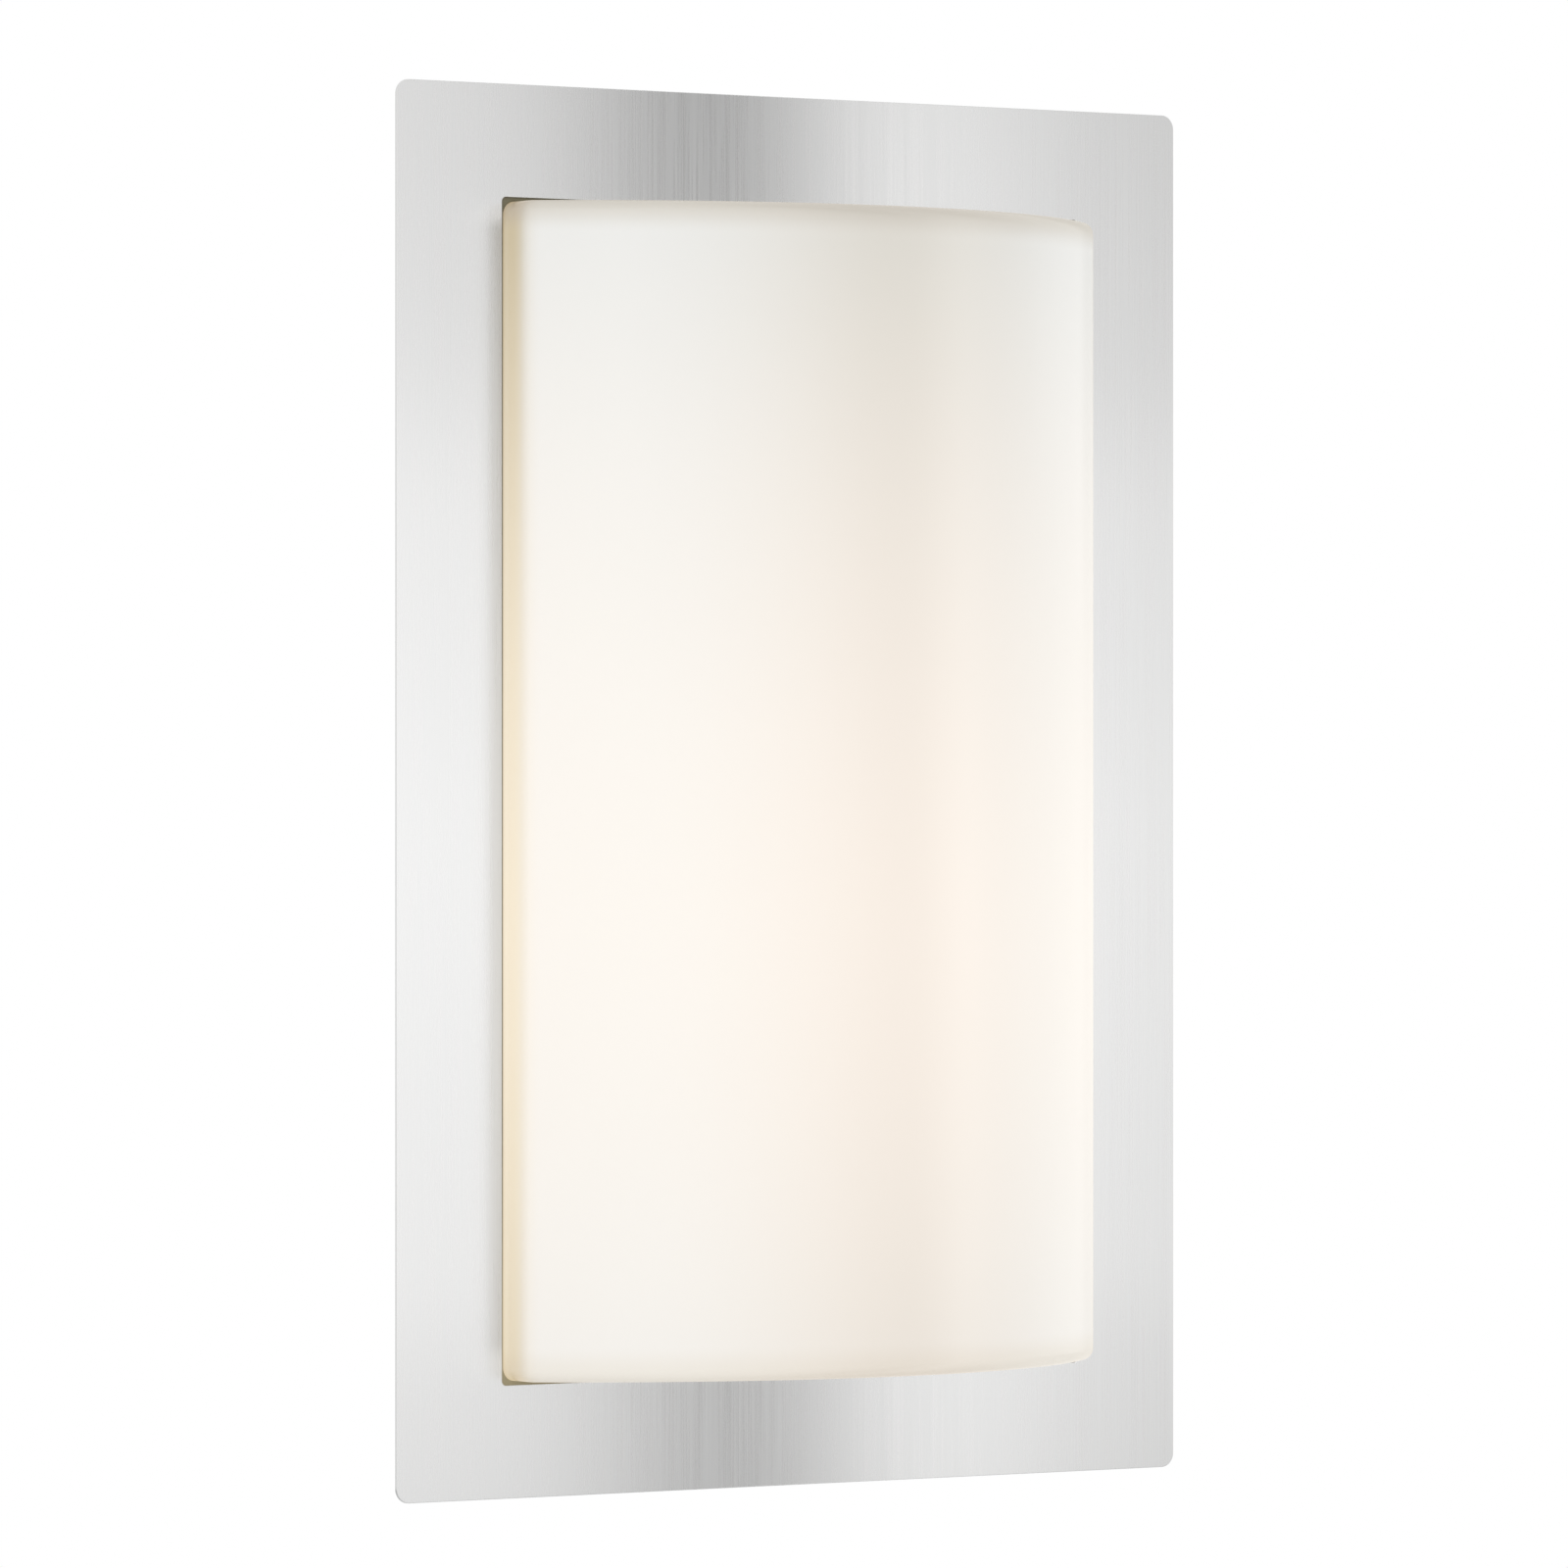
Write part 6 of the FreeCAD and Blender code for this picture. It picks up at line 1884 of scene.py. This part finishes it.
@dataclass
class Studio:
    """A pale floor, a white surround, soft lamps and the camera."""

    azimuth: float = 36.0
    distance: float = 2.853
    aside: float = 0.0032
    lens: float = 239.1
    sensor: float = 36.0
    shift_up: float = 0.0046
    sky: Colour = (0.97, 0.985, 1.0)
    sky_strength: float = 0.42
    floor_level: float = -0.45
    floor_radius: float = 2.3
    floor_shades: tuple[Colour, Colour] = ((0.90, 0.90, 0.895), (0.93, 0.93, 0.925))
    floor_roughness: float = 0.9
    panel_middle: Place = (0.075, -0.14, 0.0)
    panel_width: float = 0.41
    panel_height: float = 0.48
    panel_across: tuple[Pair, ...] = (
        (0.00, 1.32), (0.235, 1.32), (0.29, 1.24), (0.34, 0.95), (0.375, 0.61), (0.41, 0.33),
        (0.45, 0.38), (0.48, 0.76), (0.52, 1.27), (0.565, 1.60), (0.62, 1.58), (0.70, 1.22),
        (0.80, 1.10), (1.00, 1.06),
    )
    panel_up: tuple[Pair, ...] = (
        (0.00, 0.775), (0.13, 0.865), (0.23, 0.97), (0.45, 1.02), (0.64, 0.96), (0.80, 0.82),
        (0.88, 0.78), (1.00, 0.74),
    )
    panel_lean: float = 0.025
    panel_plain: float = 0.18
    plain_grey: float = 0.95
    plain_from: float = 0.2
    lamps: tuple[SoftLamp, ...] = (
        SoftLamp("key", (-1.6, -1.9, 0.9), PLATE_MIDDLE, 1.4, 1.6, 32.0),
        SoftLamp("fill", (1.7, -1.7, 0.3), PLATE_MIDDLE, 1.4, 1.4, 13.0),
        SoftLamp("back", (0.6, 1.8, 1.2), (0.0, 0.0, 0.0), 1.2, 1.2, 12.0),
    )

    def camera(self) -> None:
        """Adds the camera, level with the middle of the plate and to its left."""
        turn = math.radians(self.azimuth)
        ahead = Vector((math.sin(turn), math.cos(turn), 0.0))
        right = Vector((math.cos(turn), -math.sin(turn), 0.0))
        spot = Vector(PLATE_MIDDLE) - ahead * self.distance - right * self.aside
        data = bpy.data.cameras.new("camera")
        data.lens = self.lens
        data.sensor_width = self.sensor
        data.shift_y = self.shift_up
        data.clip_end = 50.0
        eye = bpy.data.objects.new("camera", data)
        eye.location = spot
        eye.rotation_euler = (math.radians(90), 0.0, -turn)
        bpy.context.scene.collection.objects.link(eye)
        bpy.context.scene.camera = eye

    def surround(self) -> None:
        """Makes the world white to the eye and in reflections, and softer as a light."""
        world = bpy.data.worlds.new("surround")
        bpy.context.scene.world = world
        world.use_nodes = True
        tree = Tree(world.node_tree)
        world.node_tree.nodes.clear()
        path = tree.add("LightPath")
        seen = tree.math("MAXIMUM", path.outputs["Is Camera Ray"], path.outputs["Is Glossy Ray"])
        seen = tree.math("MAXIMUM", seen, path.outputs["Is Transmission Ray"])
        shown = tree.add("Background")
        shown.inputs["Color"].default_value = (*WHITE, 1.0)
        light = tree.add("Background")
        light.inputs["Color"].default_value = (*self.sky, 1.0)
        light.inputs["Strength"].default_value = self.sky_strength
        mix = tree.add("MixShader")
        tree.feed(mix.inputs[0], seen)
        tree.feed(mix.inputs[1], light.outputs[0])
        tree.feed(mix.inputs[2], shown.outputs[0])
        out = tree.add("OutputWorld")
        tree.feed(out.inputs["Surface"], mix.outputs[0])

    def floor(self) -> None:
        """Lays a plain pale floor below the lantern, clear from underneath."""
        bpy.ops.mesh.primitive_circle_add(vertices=96, radius=self.floor_radius, fill_type="NGON",
                                          location=(0.0, 0.0, self.floor_level))
        ground = started("floor")
        only(ground)
        surface = Surface("floor_paint")
        shade = surface.blend(surface.cloud(scale=3.0, strength=0.2), *self.floor_shades)
        surface.set(base_color=shade, roughness=self.floor_roughness)
        clear = surface.add("BsdfTransparent")
        sides = surface.add("MixShader")
        surface.feed(sides.inputs[0], surface.add("NewGeometry").outputs["Backfacing"])
        surface.feed(sides.inputs[1], surface.shader.outputs[0])
        surface.feed(sides.inputs[2], clear.outputs[0])
        out = next(node for node in surface.tree.nodes if node.type == "OUTPUT_MATERIAL")
        surface.feed(out.inputs["Surface"], sides.outputs[0])
        ground.data.materials.append(surface.material)

    def reflected_panel(self) -> None:
        """Stands the graded panel that the plate mirrors: bright at mid height, one dark strip.

        It turns with the frame, so the open plate doesn't swing through it.
        """
        wide, high = self.panel_width, self.panel_height
        bpy.ops.mesh.primitive_plane_add(size=1.0, location=self.panel_middle,
                                         rotation=(math.radians(90), 0.0, 0.0), scale=(wide, high, 1.0))
        panel = started("graded_panel")
        only(panel)
        material = bpy.data.materials.new("graded_panel")
        material.use_nodes = True
        tree = Tree(material.node_tree)
        tree.tree.nodes.clear()
        side, _, rise = tree.axes()
        left = self.panel_middle[0] - wide / 2
        leant = tree.math("ADD", side, tree.math("MULTIPLY", rise, self.panel_lean))
        across = tree.ramp(leant, left, left + wide, self.panel_across)
        plainer = tree.math("MULTIPLY", tree.eased(rise, self.plain_from, -self.plain_from),
                            self.panel_plain)
        across = tree.blend(plainer, across, tinted(WHITE, self.plain_grey))
        up = tree.ramp(rise, -high / 2, high / 2, self.panel_up)
        glow = tree.add("Emission")
        tree.feed(glow.inputs["Color"], tree.blend(1.0, across, up, "MULTIPLY"))
        tree.feed(tree.add("OutputMaterial").inputs["Surface"], glow.outputs[0])
        panel.data.materials.append(material)
        panel.visible_camera = False
        panel.visible_diffuse = False
        panel.visible_shadow = False
        panel.visible_transmission = False
        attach(panel, "front_frame")

    def build(self) -> None:
        """Sets up the whole studio."""
        scene = bpy.context.scene
        scene.view_settings.view_transform = "Standard"
        self.camera()
        self.surround()
        self.floor()
        self.reflected_panel()
        for lamp in self.lamps:
            lamp.build()
        log.info("studio ready")


def main() -> None:
    """Builds every sub-assembly in order."""
    Studio().build()
    for assembly in (FacePlate(), GlassShade(), ShadeSeal(), ShadeFixings(), WallPan(), Lock(),
                     Lampholder(), Lamp(), Supply()):
        log.info("building %s", type(assembly).__name__)
        assembly.build()


if __name__ == "__main__":
    main()
